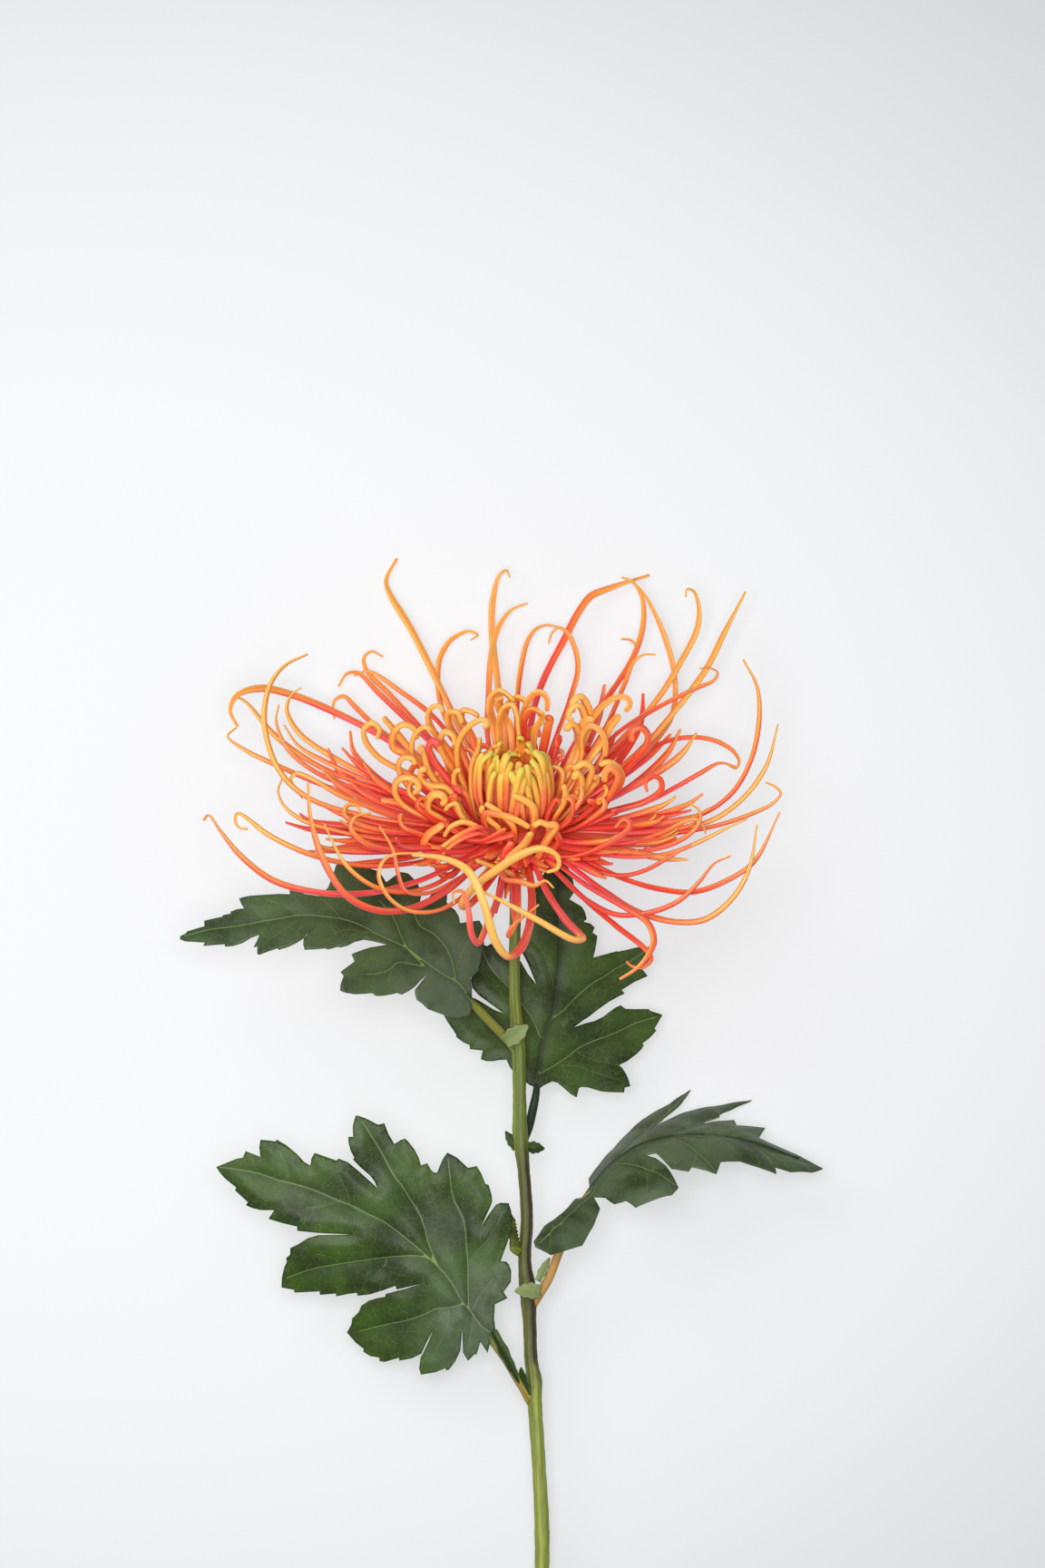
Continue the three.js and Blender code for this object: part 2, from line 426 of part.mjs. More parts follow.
// Each has its width, how far behind the bloom's axis its first and last points are, and its
// points in front view, from among the long florets to the tip.
const HOOKED_FLORETS = [
  // behind the eye
  [1.9, 23, 20, [[-6, 29], [-7, 34], [-6.2, 37.4], [-4.3, 38.6], [-2, 37.3], [-0.4, 35.4]]],
  [1.6, 24, 22, [[-1.5, 29], [-4.2, 33], [-4.9, 35.6], [-3.4, 36.8]]],
  [1.6, 16, 11, [[-4.5, 27], [-4.3, 31], [-2.8, 34], [-0.9, 34.6], [0.3, 32], [0.6, 28.5], [0.9, 25.6]]],
  [1.7, 26, 23, [[-3, 31], [-1.6, 35.5], [1, 36.8], [3.2, 35.3], [4, 33]]],
  [1.5, 24, 22, [[1.5, 30], [3.2, 35], [5, 37.8], [7, 38.2], [8.7, 36.6], [8.8, 33]]],
  [1.6, 19, 14, [[2.4, 26], [2.6, 31], [4.3, 33.5], [6.2, 33], [7.2, 31], [7.3, 29.3]]],
  [1.6, 16, 13, [[5, 23.5], [5.5, 28], [7, 30.3], [7.5, 32], [6.4, 33]]],
  [2.2, 20, 18, [[8, 24], [8.9, 28.5], [9.5, 31], [8.4, 31.4]]],
  // behind it to the right
  [2.3, 22, 18, [[20.2, 29], [20, 34], [17.9, 37], [16.1, 35.6], [15.9, 32.6]]],
  [2, 19, 15, [[18.8, 27], [18.9, 32], [17.3, 34.6], [15.4, 33.5], [14.8, 31.5], [16, 30.5]]],
  [2.2, 17, 13, [[17.6, 23], [16.9, 28], [15.3, 29.4], [13.7, 27.6]]],
  [1.9, 18, 17, [[17.4, 22], [17.2, 26], [18, 29], [20, 30.8], [22, 30.3]]],
  [1.4, 12, 8, [[18, 20], [18.3, 26.5], [20.6, 29], [23.4, 27.6], [24.8, 24.5], [24.7, 20.5]]],
  [1.5, 20, 17, [[20, 29], [25, 35.3], [28.5, 37], [31, 36.5], [31.6, 34.8], [30.2, 33]]],
  [2.2, 16, 15, [[24, 25], [26.6, 29.5], [28.8, 32]]],
  [2.1, 9, 6, [[28, 15], [33, 20], [36, 23.5], [36.4, 26.5], [34.2, 28.6], [32.1, 27.4], [32.2, 24.6]]],
  // to the right
  [2, 3, 1, [[18, 10], [20.4, 14.5], [20.9, 17.3], [18.8, 18.6], [15.9, 16.7]]],
  [1.9, -2, -4, [[16.4, 6.5], [18.2, 11.5], [18, 14.8], [16.8, 15.8], [16, 14.1]]],
  [1.7, -7, -8, [[10.8, 3.5], [13, 7], [13.8, 10], [13.2, 12.8]]],
  [1.5, -10, -9, [[12, 0.6], [14.8, 3], [16, 6.3], [15.3, 8.8], [13.5, 9.2]]],
  [2.1, 0, -2, [[23, 6], [27, 11.5], [28.2, 15.5], [26.2, 17.4], [24.7, 16], [24.6, 13.5]]],
  [1.9, 4, 3, [[26, 10], [29.3, 14], [28.6, 17], [25.8, 18.9], [23, 18.2]]],
  [1.5, -8, -8, [[8.8, 4], [10.1, 7], [11.3, 8.7], [12.3, 7.6]]],
  // behind it to the left
  [1.9, 8, 4, [
    [-14.5, 14], [-15.8, 19], [-15.6, 24], [-13.7, 27.6], [-10.8, 30], [-8.4, 30.5], [-7.7, 29.3],
    [-9, 28.4],
  ]],
  [1.7, 4, 1, [[-12, 17], [-11, 20.5], [-9.9, 23], [-9.7, 25.6]]],
  [1.9, 18, 15, [[-16, 25], [-18.4, 30], [-18.2, 32.6], [-16, 32.6], [-14.6, 29.6]]],
  [2, 20, 18, [[-12, 26], [-15, 31], [-14.4, 33.1], [-12, 32.7], [-10, 31.4]]],
  [1.7, 15, 12, [[-18.5, 22.5], [-22.8, 28], [-24, 31.6], [-22.8, 34.1], [-20.6, 34.2], [-20, 32.4]]],
  [1.9, 11, 8, [[-16, 15.5], [-19.6, 21], [-20.7, 24.6], [-19.2, 27.3], [-17.2, 26.2], [-16.7, 23.4]]],
  // to the left
  [1.7, 6, 4, [
    [-27, 14.5], [-33, 17.6], [-37.6, 20.4], [-41, 24.6], [-41.5, 28], [-39.3, 29.7], [-37.4, 28],
    [-38.2, 25.4],
  ]],
  [1.9, 12, 12, [[-28, 21.5], [-32.5, 27], [-36.4, 31.5]]],
  [2, 8, 9, [
    [-24, 16], [-29, 20.5], [-33.6, 23.2], [-33.3, 27.2], [-30.7, 29.2], [-27.6, 27.7], [-27.2, 25.4],
  ]],
  [1.6, 9, 7, [[-23.5, 15], [-27.6, 19.5], [-28.4, 23.6], [-27, 27.2], [-24.6, 28.6], [-23, 27.6]]],
  [1.9, 2, 0, [[-17.5, 9], [-21.5, 13.2], [-24, 17.5], [-25, 21.4], [-25.6, 23], [-26.8, 21.8]]],
  [2.2, 6, 3, [[-15, 10], [-19.5, 15.5], [-22.4, 19.5], [-23.7, 23], [-22.4, 24.9], [-20.6, 23.6]]],
  [1.7, 1, -1, [
    [-25.5, 8.5], [-29, 12], [-31.4, 15.4], [-32, 18.4], [-30.5, 20.3], [-28.2, 19.9], [-27.4, 18.2],
  ]],
  [1.9, -2, -3, [[-19, 12], [-23, 12.6], [-25.8, 14.4], [-25.8, 16.7], [-24.2, 17.2]]],
  [1.9, -3, -5, [
    [-26, 4.5], [-31.3, 7.8], [-33, 11], [-32.2, 14], [-29.5, 14.8], [-27, 13.6], [-26.5, 11.8],
    [-28.2, 10.2],
  ]],
  [2.1, 0, 0, [[-21, 3], [-29, 6.4], [-33, 8], [-37, 8.6]]],
  [1.7, 3, 2, [[-13.5, 10], [-16.6, 13], [-16.4, 16.2], [-15, 17.1]]],
  [2.1, -6, -8, [
    [-17, 1.5], [-21, 4], [-23.7, 5.7], [-23.9, 8.2], [-22.4, 10], [-20.3, 9.9], [-19.3, 8.3],
    [-20.5, 7.2],
  ]],
  [1.5, -9, -10, [[-8.5, 0.5], [-12.5, 1.8], [-15.2, 5], [-16.4, 7.6], [-18.3, 7], [-19.3, 5.6]]],
  // in front of it to the left
  [1.5, -11.5, -11.5, [[-4.5, 0.8], [-7.2, 3.2], [-9.2, 5.9], [-8.6, 7]]],
  [1.5, -12.5, -12, [[-0.5, 1], [-3, 4], [-5.5, 6], [-8.3, 7.7]]],
  [1.6, -13.5, -14, [[-8.5, 4.8], [-3.5, 4.4], [0.5, 3], [4, 1]]],
  [1.6, -14, -15, [[-14, -2.2], [-9.5, -2.5], [-6.5, -1.5], [-4, 0], [-2.6, 0.8]]],
  [2.4, -12, -14, [[-18.5, 1.8], [-14, -1], [-9.5, -2.3], [-4.5, -1.6], [0, -0.6]]],
  [2.3, -15, -17, [
    [-12, -6.5], [-18, -6.2], [-22, -5.6], [-25, -3.8], [-23.8, -1], [-21, 1], [-19.5, 1.9],
  ]],
  [1.7, -15, -17, [[-10, 1.2], [-16, -1.4], [-19, -3.3], [-21, -4.7]]],
  [1.6, -14, -16, [[-9, 0.5], [-14.5, 2.6], [-18.2, 0.9], [-19.6, -1.5]]],
  [1.5, -16, -18, [[-10, -0.5], [-14, -1.8], [-17.5, -3.9], [-19.9, -6.3]]],
  [1.9, -18, -21, [[-10, -8], [-15, -9.6], [-17.6, -12], [-20.2, -11.8], [-21.3, -9.6], [-20.8, -7.4]]],
  // in front of it
  [1.7, -12.5, -12.5, [[5, 1], [5.5, 4.4], [4.6, 7], [1.8, 8.9], [-1, 9.9]]],
  [2.1, -19, -22, [
    [0.5, -9.5], [4.4, -10], [6.3, -7], [8, -3.5], [9.8, -0.6], [11, 1.6], [8.8, 1.7], [6.7, 2.4],
    [4.9, 1.2],
  ]],
  [1.9, -17, -18, [[8, -5], [10.8, -4.4], [12, -2.4], [11, -0.5], [8.6, 0.6]]],
  [2.1, -20, -24, [[-3, -8.5], [-0.5, -6], [2, -4], [3.6, -1.8], [4.3, -0.2]]],
  [1.9, -19, -21, [[-3.6, -9.5], [-2.8, -6], [-0.8, -3]]],
  [1.7, -24, -28, [[2.5, -12], [-2.5, -11], [-6.5, -9.4], [-10.7, -7.7]]],
];

// The point at x and y in front view that lies a depth behind the bloom's axis.
function behind(x, y, depth) {
  return vec(x, y, y * Math.tan(BLOOM_TILT) - depth / cos(BLOOM_TILT));
}

// The centreline of a hooked floret, from its root under the eye.
function hookedPath(first, last, points) {
  const turn = Math.atan2(first, points[0][0]);
  const end = points.length - 1;
  const shown = points.map(([x, y], k) => behind(x, y, lerp(first, last, k / end)));
  return [inBloom(turn, ROOT_RADIUS + 1, -1), inBloom(turn, 11, 1.5), ...shown];
}

// A hooked floret thickens towards its blunt tip.
function hookRadius(width) {
  return (share) => (width / 2) * lerp(0.75, 1.25, min(share / 0.8, 1)) * (share < 0.9 ? 1 : 0.85);
}

function hookedFlorets() {
  return HOOKED_FLORETS.map(([width, first, last, points]) =>
    tube(stations(hookedPath(first, last, points), HOOK_TURN, HOOK_STEP), hookRadius(width), SHORT_SIDES),
  );
}

// ---- Receptacle, bloom and eye ----

const RECEPTACLE = { radius: 9.5, bottom: -4.4, top: 3 };
const LATHE_SIDES = 16;

// A solid turned round the bloom's axis from [radius, height] pairs that start and end on it.
function turned(profile, sides = LATHE_SIDES) {
  const geometry = new THREE.LatheGeometry(profile.map(([r, h]) => new THREE.Vector2(r, h)), sides);
  geometry.deleteAttribute("normal");
  geometry.deleteAttribute("uv");
  geometry.rotateX(BLOOM_TILT);
  return solid(geometry);
}

function makeBloom() {
  const { radius, bottom, top } = RECEPTACLE;
  const receptacle = turned([
    [0, bottom],
    [radius - 2.5, bottom],
    [radius, bottom + 2.4],
    [radius, top - 1.5],
    [radius - 2.5, top],
    [0, top],
  ]);
  return fuse([receptacle, ...longFlorets(), ...fanFlorets(), ...hookedFlorets()]);
}

const EYE = { bottom: RECEPTACLE.top + CLEARANCE, outer: 22, inner: 14, radius: 10.2, height: 26.6 };

// An incurved floret of the eye: out from the base, up, and over the rim towards the axis.
function eyeFloret(i, layer) {
  const count = layer ? EYE.inner : EYE.outer;
  const turn = (2 * PI * (i + 0.5 * layer)) / count + between(-0.07, 0.07, i, 21 + layer);
  const girth = (layer ? 0.78 : 1) * between(0.95, 1.03, i, 23 + layer);
  const height = EYE.height * between(0.88, 1.02, i, 25 + layer) * (layer ? 1.03 : 1);
  const drift = between(-0.22, 0.22, i, 27 + layer);
  const profile = [
    [0.55, 0.17],
    [0.88, 0.28],
    [1.02, 0.48],
    [0.98, 0.7],
    [0.88, 0.88],
    [0.74, 0.96],
  ];
  return profile.map(([r, h], k) => inBloom(turn + (drift * k) / 5, EYE.radius * r * girth, height * h));
}

function makeEye() {
  const core = turned(
    [
      [0, EYE.bottom],
      [6.5, EYE.bottom],
      [8.2, 8],
      [8.6, 13],
      [7.4, 18],
      [5, 20.5],
      [2.5, 18],
      [0, 16.5],
    ],
    16,
  );
  const florets = [];
  for (const layer of [0, 1]) {
    for (let i = 0; i < (layer ? EYE.inner : EYE.outer); i++) {
      const width = between(2.1, 2.5, i, 29 + layer);
      const radius = (share) => (width / 2) * (share < 0.15 ? 0.8 : 1) * (share > 0.9 ? 0.85 : 1);
      florets.push(tube(stations(eyeFloret(i, layer), THREE.MathUtils.degToRad(50), 12), radius, EYE_SIDES));
    }
  }
  return fuse([core, ...florets]);
}

// ---- Calyx ----

const CALYX = { bottom: -11, bracts: 10 };

// A green cup under the receptacle, ringed by small pointed bracts.
function makeCalyx() {
  const top = RECEPTACLE.bottom - CLEARANCE;
  const cup = turned([
    [0, CALYX.bottom],
    [1.9, CALYX.bottom],
    [3.4, CALYX.bottom + 1.2],
    [6.6, top - 1.6],
    [6.9, top],
    [0, top],
  ]);
  const bracts = [];
  for (let i = 0; i < CALYX.bracts; i++) {
    const turn = (2 * PI * i) / CALYX.bracts;
    const radius = (share) => lerp(1.0, 0.75, share);
    const profile = [[3.2, -9.2], [5.4, -7.6], [7.2, top - 1.4], [7.7, top - 0.1]];
    const path = profile.map(([r, h]) => inBloom(turn, r, h));
    bracts.push(tube(stations(path, PI, 4.5), radius, 4));
  }
  const above = turned([[0, top], [12, top], [12, top + 6], [0, top + 6]]);
  return fuse([cup, ...bracts]).subtract(above);
}

// ---- Stem ----

// The stem's line from the calyx to its cut end, with its radius, bending a little at each joint.
const STEM = [
  [0, -11.2, -5.2, 1.6],
  [0, -22, -5, 1.5],
  [-0.2, -46, -2.5, 1.5],
  [0.6, -56, -1, 1.95],
  [1, -62, -0.4, 1.8],
  [1.2, -74, 0, 1.75],
  [1.4, -84, 0.4, 2.05],
  [2.4, -94, 0.8, 1.6],
  [3.2, -107, 0.8, 1.65],
  [2.6, -118, 0.4, 1.7],
  [3.4, -126, 0, 2.25],
  [4, -136, -0.3, 1.75],
  [4.4, -146, -0.3, 1.75],
  [5.2, -151, -0.2, 2.1],
  [5.4, -158, 0, 1.9],
  [6.6, -176, 0.6, 1.8],
  [7.4, -193, 0.8, 2],
  [7.2, -210, 0.6, 1.85],
  [6.2, -238, 0, 1.95],
  [6.6, -268, -0.4, 1.9],
];
const STEM_SIDES = 10;
const STEM_RIDGE = 0.06; // every second corner of the section stands out by this share

// The stem as a tube with flat ends. grown adds to its radius, for cutting what it carries to fit.
function stemSolid(grown = 0) {
  const sides = STEM_SIDES;
  const line = new THREE.CatmullRomCurve3(STEM.map(([x, y, z]) => vec(x, y, z)), false, "centripetal");
  const rings = STEM.length * 2 - 1;
  const vertices = [];
  const triangles = [];
  for (let i = 0; i < rings; i++) {
    const at = (i / (rings - 1)) * (STEM.length - 1);
    const [low, high] = [STEM[Math.floor(at)], STEM[min(Math.floor(at) + 1, STEM.length - 1)]];
    const radius = lerp(low[3], high[3], at % 1) + grown;
    const centre = line.getPoint(at / (STEM.length - 1));
    for (let k = 0; k < sides; k++) {
      const a = (2 * PI * k) / sides;
      const r = radius * (k % 2 ? 1 - STEM_RIDGE : 1 + STEM_RIDGE);
      const slant = i === rings - 1 ? r * cos(a) * 0.6 : 0; // the cut end is slanted
      vertices.push(centre.clone().add(vec(r * cos(a), slant, r * sin(a))));
    }
  }
  for (let k = 1; k < sides - 1; k++) {
    const end = (rings - 1) * sides;
    triangles.push([0, k + 1, k], [end, end + k, end + k + 1]);
  }
  for (let i = 0; i < rings - 1; i++) {
    for (let k = 0; k < sides; k++) {
      const [a, b] = [i * sides + k, i * sides + ((k + 1) % sides)];
      triangles.push([a, b, b + sides], [a, b + sides, a + sides]);
    }
  }
  return solid(geometryOf(vertices, triangles));
}

// The stem with a bud in the axil of a lost leaf, and the scar of another.
function makeStem(grown = 0) {
  const budTip = vec(-1.2, -107 + grown, 2);
  const budPath = [vec(1.6, -116, 1.6), vec(-0.9, -112.5, 2.2), vec(-1.6, -109.5, 2.2), budTip];
  const bud = tube(
    stations(budPath, PI, 3),
    (share) => lerp(1.5, 1.1, share) + grown * 1.2,
    6,
  );
  const scar = tube(
    stations([vec(7, -184, 1), vec(6.2, -182.5, 3.2), vec(6.1, -182.4, 3.7 + grown)], PI, 3),
    () => 1.2 + grown * 1.2,
    6,
  );
  return fuse([stemSolid(grown), bud, scar]);
}

// ---- Leaves ----

// Each leaf has its stalk from the stem, its midrib, and the lobes down each side from base to tip.
// A lobe's vein leaves the midrib at its foot, in twentieths of the midrib. Its edge runs from the
// notch before it to its tip and on to its own notch. rise is how far a side comes forward for
// each millimetre out from the midrib, and sag bends it back again towards its edge. A point with
// three numbers is given in full instead.
const LEAVES = [
  {
    name: "leaf_upper_left",
    stalk: [[1, -60.5, -0.5], [-4, -55.5, 2.5], [-8.5, -50.8, 4.5], [-12, -47, 6]],
    midrib: [
      [-12, -47, 6], [-17, -41.5, 8], [-22, -37.5, 9.5], [-30, -31.5, 11], [-38, -27.5, 12],
      [-48, -24.8, 12.5], [-60, -24, 12.3], [-74, -26, 11], [-92.5, -29.3, 7],
    ],
    left: {
      rise: 0.75,
      sag: 0.012,
      lobes: [
        {
          foot: 2,
          before: [[-14.5, -50.3]],
          tip: [-20, -50.2],
          after: [[-25, -47.4], [-27.6, -43.6]],
          notch: [-24.6, -40],
        },
        {
          foot: 4,
          before: [[-28.5, -43], [-32, -44.6], [-37.2, -45], [-38.2, -44.2]],
          tip: [-48, -43.4],
          after: [[-47.5, -38.4], [-44, -36.7], [-44.6, -33.4], [-38, -31.6]],
          notch: [-34.4, -30.9],
        },
        {
          foot: 7,
          before: [[-41, -30.1], [-47, -30.6], [-52, -32]],
          tip: [-58, -32.2],
          after: [[-58, -29.6]],
          notch: [-54.5, -26],
        },
      ],
      end: [
        [-60.5, -31.7], [-64.5, -32], [-70.6, -33.3], [-70.2, -28.6], [-79.8, -31.3], [-80, -30.1],
        [-85.5, -30.9],
      ],
    },
    right: {
      rise: -0.5,
      sag: 0,
      lobes: [
        {
          foot: 2,
          before: [[-9, -42.5], [-9, -40.5], [-10, -38.5], [-9, -30]],
          tip: [-10, -24.8],
          after: [[-15.3, -25.2]],
          notch: [-15.8, -28.5],
        },
        {
          foot: 3,
          before: [[-15.3, -22.5], [-17.5, -19]],
          tip: [-20.5, -15.5],
          after: [[-24.5, -19]],
          notch: [-26.5, -22],
        },
        {
          foot: 5,
          before: [[-25.5, -15.5], [-29.5, -11.4]],
          tip: [-31.5, -11.2],
          after: [],
          notch: [-35, -15],
        },
        {
          foot: 8,
          before: [[-37.5, -11], [-41, -10]],
          tip: [-49.5, -9],
          after: [[-50.2, -15]],
          notch: [-54, -18],
        },
      ],
      end: [
        [-58, -17.5], [-61.8, -16], [-62, -17.4], [-75.8, -18.5], [-76, -21.5], [-85.3, -24.6],
        [-85.5, -25.6],
      ],
    },
    stipules: [[[-2.8, -58, 1.8], [3.6, -53.4, 3.8], [0.3, 0.1, 1], 4.6]],
  },
  {
    name: "leaf_upper_right",
    stalk: [[1.4, -87, -0.4], [3.6, -82, -3.4], [4.8, -77, -5], [5.8, -72, -6]],
    midrib: [
      [5.8, -72, -6], [6.8, -65, -8], [8, -57, -10], [9.6, -49, -12], [10.8, -40, -13.5], [12, -31, -15],
      [14, -20, -17],
      [13, -7, -19],
    ],
    left: {
      rise: 0.1,
      sag: 0.004,
      lobes: [
        {
          foot: 3,
          before: [[-1, -63], [-5, -63.5], [-9.5, -62.5], [-9, -60.4], [-12.5, -60], [-16, -57]],
          tip: [-20, -50.3],
          after: [[-15, -46.5]],
          notch: [-3, -50.4],
        },
        {
          foot: 7,
          before: [[-11, -45.2], [-12.3, -42], [-10, -38.8]],
          tip: [-9, -32],
          after: [[-6, -31.6], [-3, -34], [1, -34]],
          notch: [5.6, -42.4],
        },
      ],
      end: [[2.2, -33], [2.5, -28], [4, -20], [8, -11]],
    },
    right: {
      rise: -0.1,
      sag: 0.006,
      lobes: [
        {
          foot: 1,
          before: [[10.5, -69], [14, -70.7], [17, -73.4], [17.6, -70.8], [30.2, -72.2]],
          tip: [31.7, -70.4],
          after: [[30.5, -67]],
          notch: [28.3, -65],
        },
        {
          foot: 3,
          before: [[35.5, -59.8], [35.4, -57.8], [39, -55]],
          tip: [41, -51],
          after: [[35, -49.6], [29.3, -48.2], [25, -50.8]],
          notch: [16.4, -54.2],
        },
        {
          foot: 7,
          before: [[23, -49.5], [30, -45.2], [30, -43.5], [36.6, -40.4], [36, -37.8]],
          tip: [38, -32.2],
          after: [[30, -33.4]],
          notch: [21.5, -35.2],
        },
      ],
      end: [[22.7, -29], [21.3, -26.2], [18.4, -24.8], [19.4, -21], [17, -16.6], [15.5, -11]],
    },
    stipules: [
      [[0.4, -87.5, -1.2], [-2.8, -82.6, -1.8], [-0.2, 0.2, 1], 2.4],
      [[3, -87, -1], [8.2, -87.5, -1.8], [0, 0.1, 1], 3],
    ],
  },
  {
    name: "leaf_lower_left",
    stalk: [[4.6, -157, 0.5], [1, -151.5, 2.5], [-2.5, -145.5, 3.5], [-6.6, -140, 4]],
    midrib: [
      [-6.6, -140, 4], [-10.5, -134.5, 4.5], [-15.5, -130, 5], [-20, -122.5, 5.5], [-24, -116.5, 6],
      [-30, -111, 6.5],
      [-38, -106.5, 7], [-50, -101, 7.5], [-66, -95.5, 7.5], [-82.3, -92.5, 6],
    ],
    left: {
      rise: 0.12,
      sag: 0.012,
      lobes: [
        {
          foot: 1,
          before: [[-7.5, -143.5], [-9.7, -140.5]],
          tip: [-13, -145.5],
          after: [[-14.3, -142.5]],
          notch: [-14.5, -137],
        },
        {
          foot: 2,
          before: [[-15.2, -143.5], [-19, -148.4]],
          tip: [-25.8, -149.7],
          after: [[-26.3, -145.5]],
          notch: [-22.6, -137.3],
        },
        {
          foot: 3,
          before: [[-25.8, -143], [-31.8, -146], [-37.5, -146.2], [-42, -143.5]],
          tip: [-46.4, -138.2],
          after: [[-44.9, -134.8], [-42, -132.5], [-42.5, -131], [-35.8, -127.9]],
          notch: [-26, -124.9],
        },
        {
          foot: 5,
          before: [[-33.3, -125.2], [-43.5, -128], [-49.4, -128.2], [-53.9, -127.8], [-61, -127]],
          tip: [-64.4, -125.4],
          after: [[-63.3, -118], [-62, -114.5], [-54.3, -111.4]],
          notch: [-45, -111.2],
        },
      ],
      end: [
        [-54.3, -110.2], [-60, -109.6], [-67.8, -106.8], [-66.6, -104.4], [-73.2, -103.6], [-77.2, -99],
      ],
    },
    right: {
      rise: 0.1,
      sag: 0.004,
      lobes: [
        {
          foot: 2,
          before: [[-5.8, -137.5], [-5.4, -130], [-2, -128.3], [-3.1, -126.3]],
          tip: [-1.2, -121],
          after: [[-1.5, -119]],
          notch: [-3.9, -118.2],
        },
        {
          foot: 3,
          before: [[-1.6, -113.7], [-0.5, -107.5]],
          tip: [-2.2, -102.3],
          after: [[-6.5, -103.5]],
          notch: [-9.3, -108.8],
        },
        {
          foot: 4,
          before: [[-6.3, -101.5], [-7.3, -97.3], [-10.4, -92.3], [-13, -92.6]],
          tip: [-18.8, -88.4],
          after: [[-20.4, -90.5]],
          notch: [-21.8, -94.3],
        },
        {
          foot: 6,
          before: [
            [-24.2, -91.3], [-25.8, -92], [-30.4, -84.5], [-33.4, -86.3], [-36, -80.3], [-37.8, -80.8],
          ],
          tip: [-43.8, -78.1],
          after: [[-44.7, -84], [-46, -84.3], [-44.3, -90]],
          notch: [-38, -98],
        },
      ],
      end: [
        [-48.3, -90], [-49.6, -90.7], [-55, -88.4], [-56.5, -92], [-65.3, -84.9], [-70.1, -85],
        [-70.2, -89.8], [-74.5, -88.1],
      ],
    },
    stipules: [[[3.4, -155, 1.6], [1.4, -147.6, 3.8], [-0.6, 0.2, 1], 3]],
  },
  {
    name: "leaf_lower_right",
    stalk: [[4.6, -130, 0], [8.6, -124.5, 1], [13, -113.5, 2], [17, -105, 2.6], [20.5, -99.5, 3]],
    midrib: [
      [20.5, -99.5, 3], [23, -96, 4], [27, -91.6, 4], [33, -87.2, 3], [40, -84.9, 2], [48, -84, 0],
      [57, -83.6, -2],
      [70, -87.4, -5], [85, -92.7, -8],
    ],
    left: {
      rise: -2,
      sag: 0,
      lobes: [
        {
          foot: 2,
          before: [[20.2, -96, -3], [28, -86.5, -11], [35, -79.6, -17], [43, -75, -21]],
          tip: [48.6, -71.2, -25],
          after: [[46, -74.5, -20], [41, -78.5, -14]],
          notch: [36.5, -82, -7],
        },
        {
          foot: 7,
          before: [[43, -79.2, -13], [47, -77.5, -16], [55.5, -75.8, -20]],
          tip: [65.6, -74.2, -25],
          after: [[58, -77.2, -18], [54.6, -78.6, -13]],
          notch: [51, -80.6, -8],
        },
      ],
      end: [
        [60.5, -79.6, -14], [61.2, -80.6, -11], [69.2, -81.8, -16], [67.4, -84.6, -10], [75, -87.8, -10],
        [80, -90.2, -9],
      ],
    },
    right: {
      rise: 1.3,
      sag: 0.014,
      lobes: [
        {
          foot: 1,
          before: [[16.6, -100], [13, -104.2], [8, -107.6], [5.2, -111.6]],
          tip: [5.6, -113.4],
          after: [[10, -115.7], [14, -114.4], [18.5, -113.2], [21.6, -108], [23.3, -103.8]],
          notch: [21.4, -100.6],
        },
        {
          foot: 3,
          before: [[24.5, -100.2], [27, -102], [30.2, -100.8], [32.8, -102.9], [35, -101.5], [43, -99.2]],
          tip: [44.8, -97.2],
          after: [[43.6, -94.7], [41.5, -91.6], [38.6, -89.6]],
          notch: [35.8, -88.5],
        },
        {
          foot: 8,
          before: [[38.7, -88.2], [43, -92], [47.8, -93], [48.6, -91.8]],
          tip: [55.4, -93.6],
          after: [],
          notch: [56.6, -90.6],
        },
      ],
      end: [[62, -90.5], [67.8, -92.3], [72, -94.2], [71.6, -92], [76, -93.6], [82, -93.5]],
    },
    stipules: [
      [[7, -127, 1.8], [-0.2, -126.4, 3.8], [0.1, 0.4, 1], 4.4],
      [[6.4, -124, 0.6], [9.4, -117.4, 0.8], [-0.7, 0.3, 1], 2.4],
    ],
  },
];
const RIBS = 20;
const VEIN_STEPS = 3;
const VEIN_SAG = 1;
const STALK = { radius: 1.3, tip: 0.45, sides: 6 };

// Triangles that fill an outline in space, wound as the outline is.
function fill(outline) {
  const normal = vec(0, 0, 0);
  outline.forEach((p, i) => normal.add(p.clone().cross(outline[(i + 1) % outline.length])));
  normal.normalize();
  const across = vec(1, 0, 0).addScaledVector(normal, -normal.x).normalize();
  const over = normal.clone().cross(across);
  const flat = outline.map((p) => new THREE.Vector2(p.dot(across), p.dot(over)));
  const area = ([a, b, c]) => flat[b].clone().sub(flat[a]).cross(flat[c].clone().sub(flat[a]));
  const cut = THREE.ShapeUtils.triangulateShape(flat, []);
  return cut.map(([a, b, c]) => (area([a, b, c]) > 0 ? [a, b, c] : [a, c, b]));
}

// A lobe's vein from its foot, sagging a little on the way to the tip, which it leaves out.
function veinOf(foot, tip) {
  return Array.from({ length: VEIN_STEPS }, (_, k) => {
    const point = foot.clone().lerp(tip, k / VEIN_STEPS);
    point.z -= VEIN_SAG * sin((PI * k) / VEIN_STEPS);
    return point;
  });
}

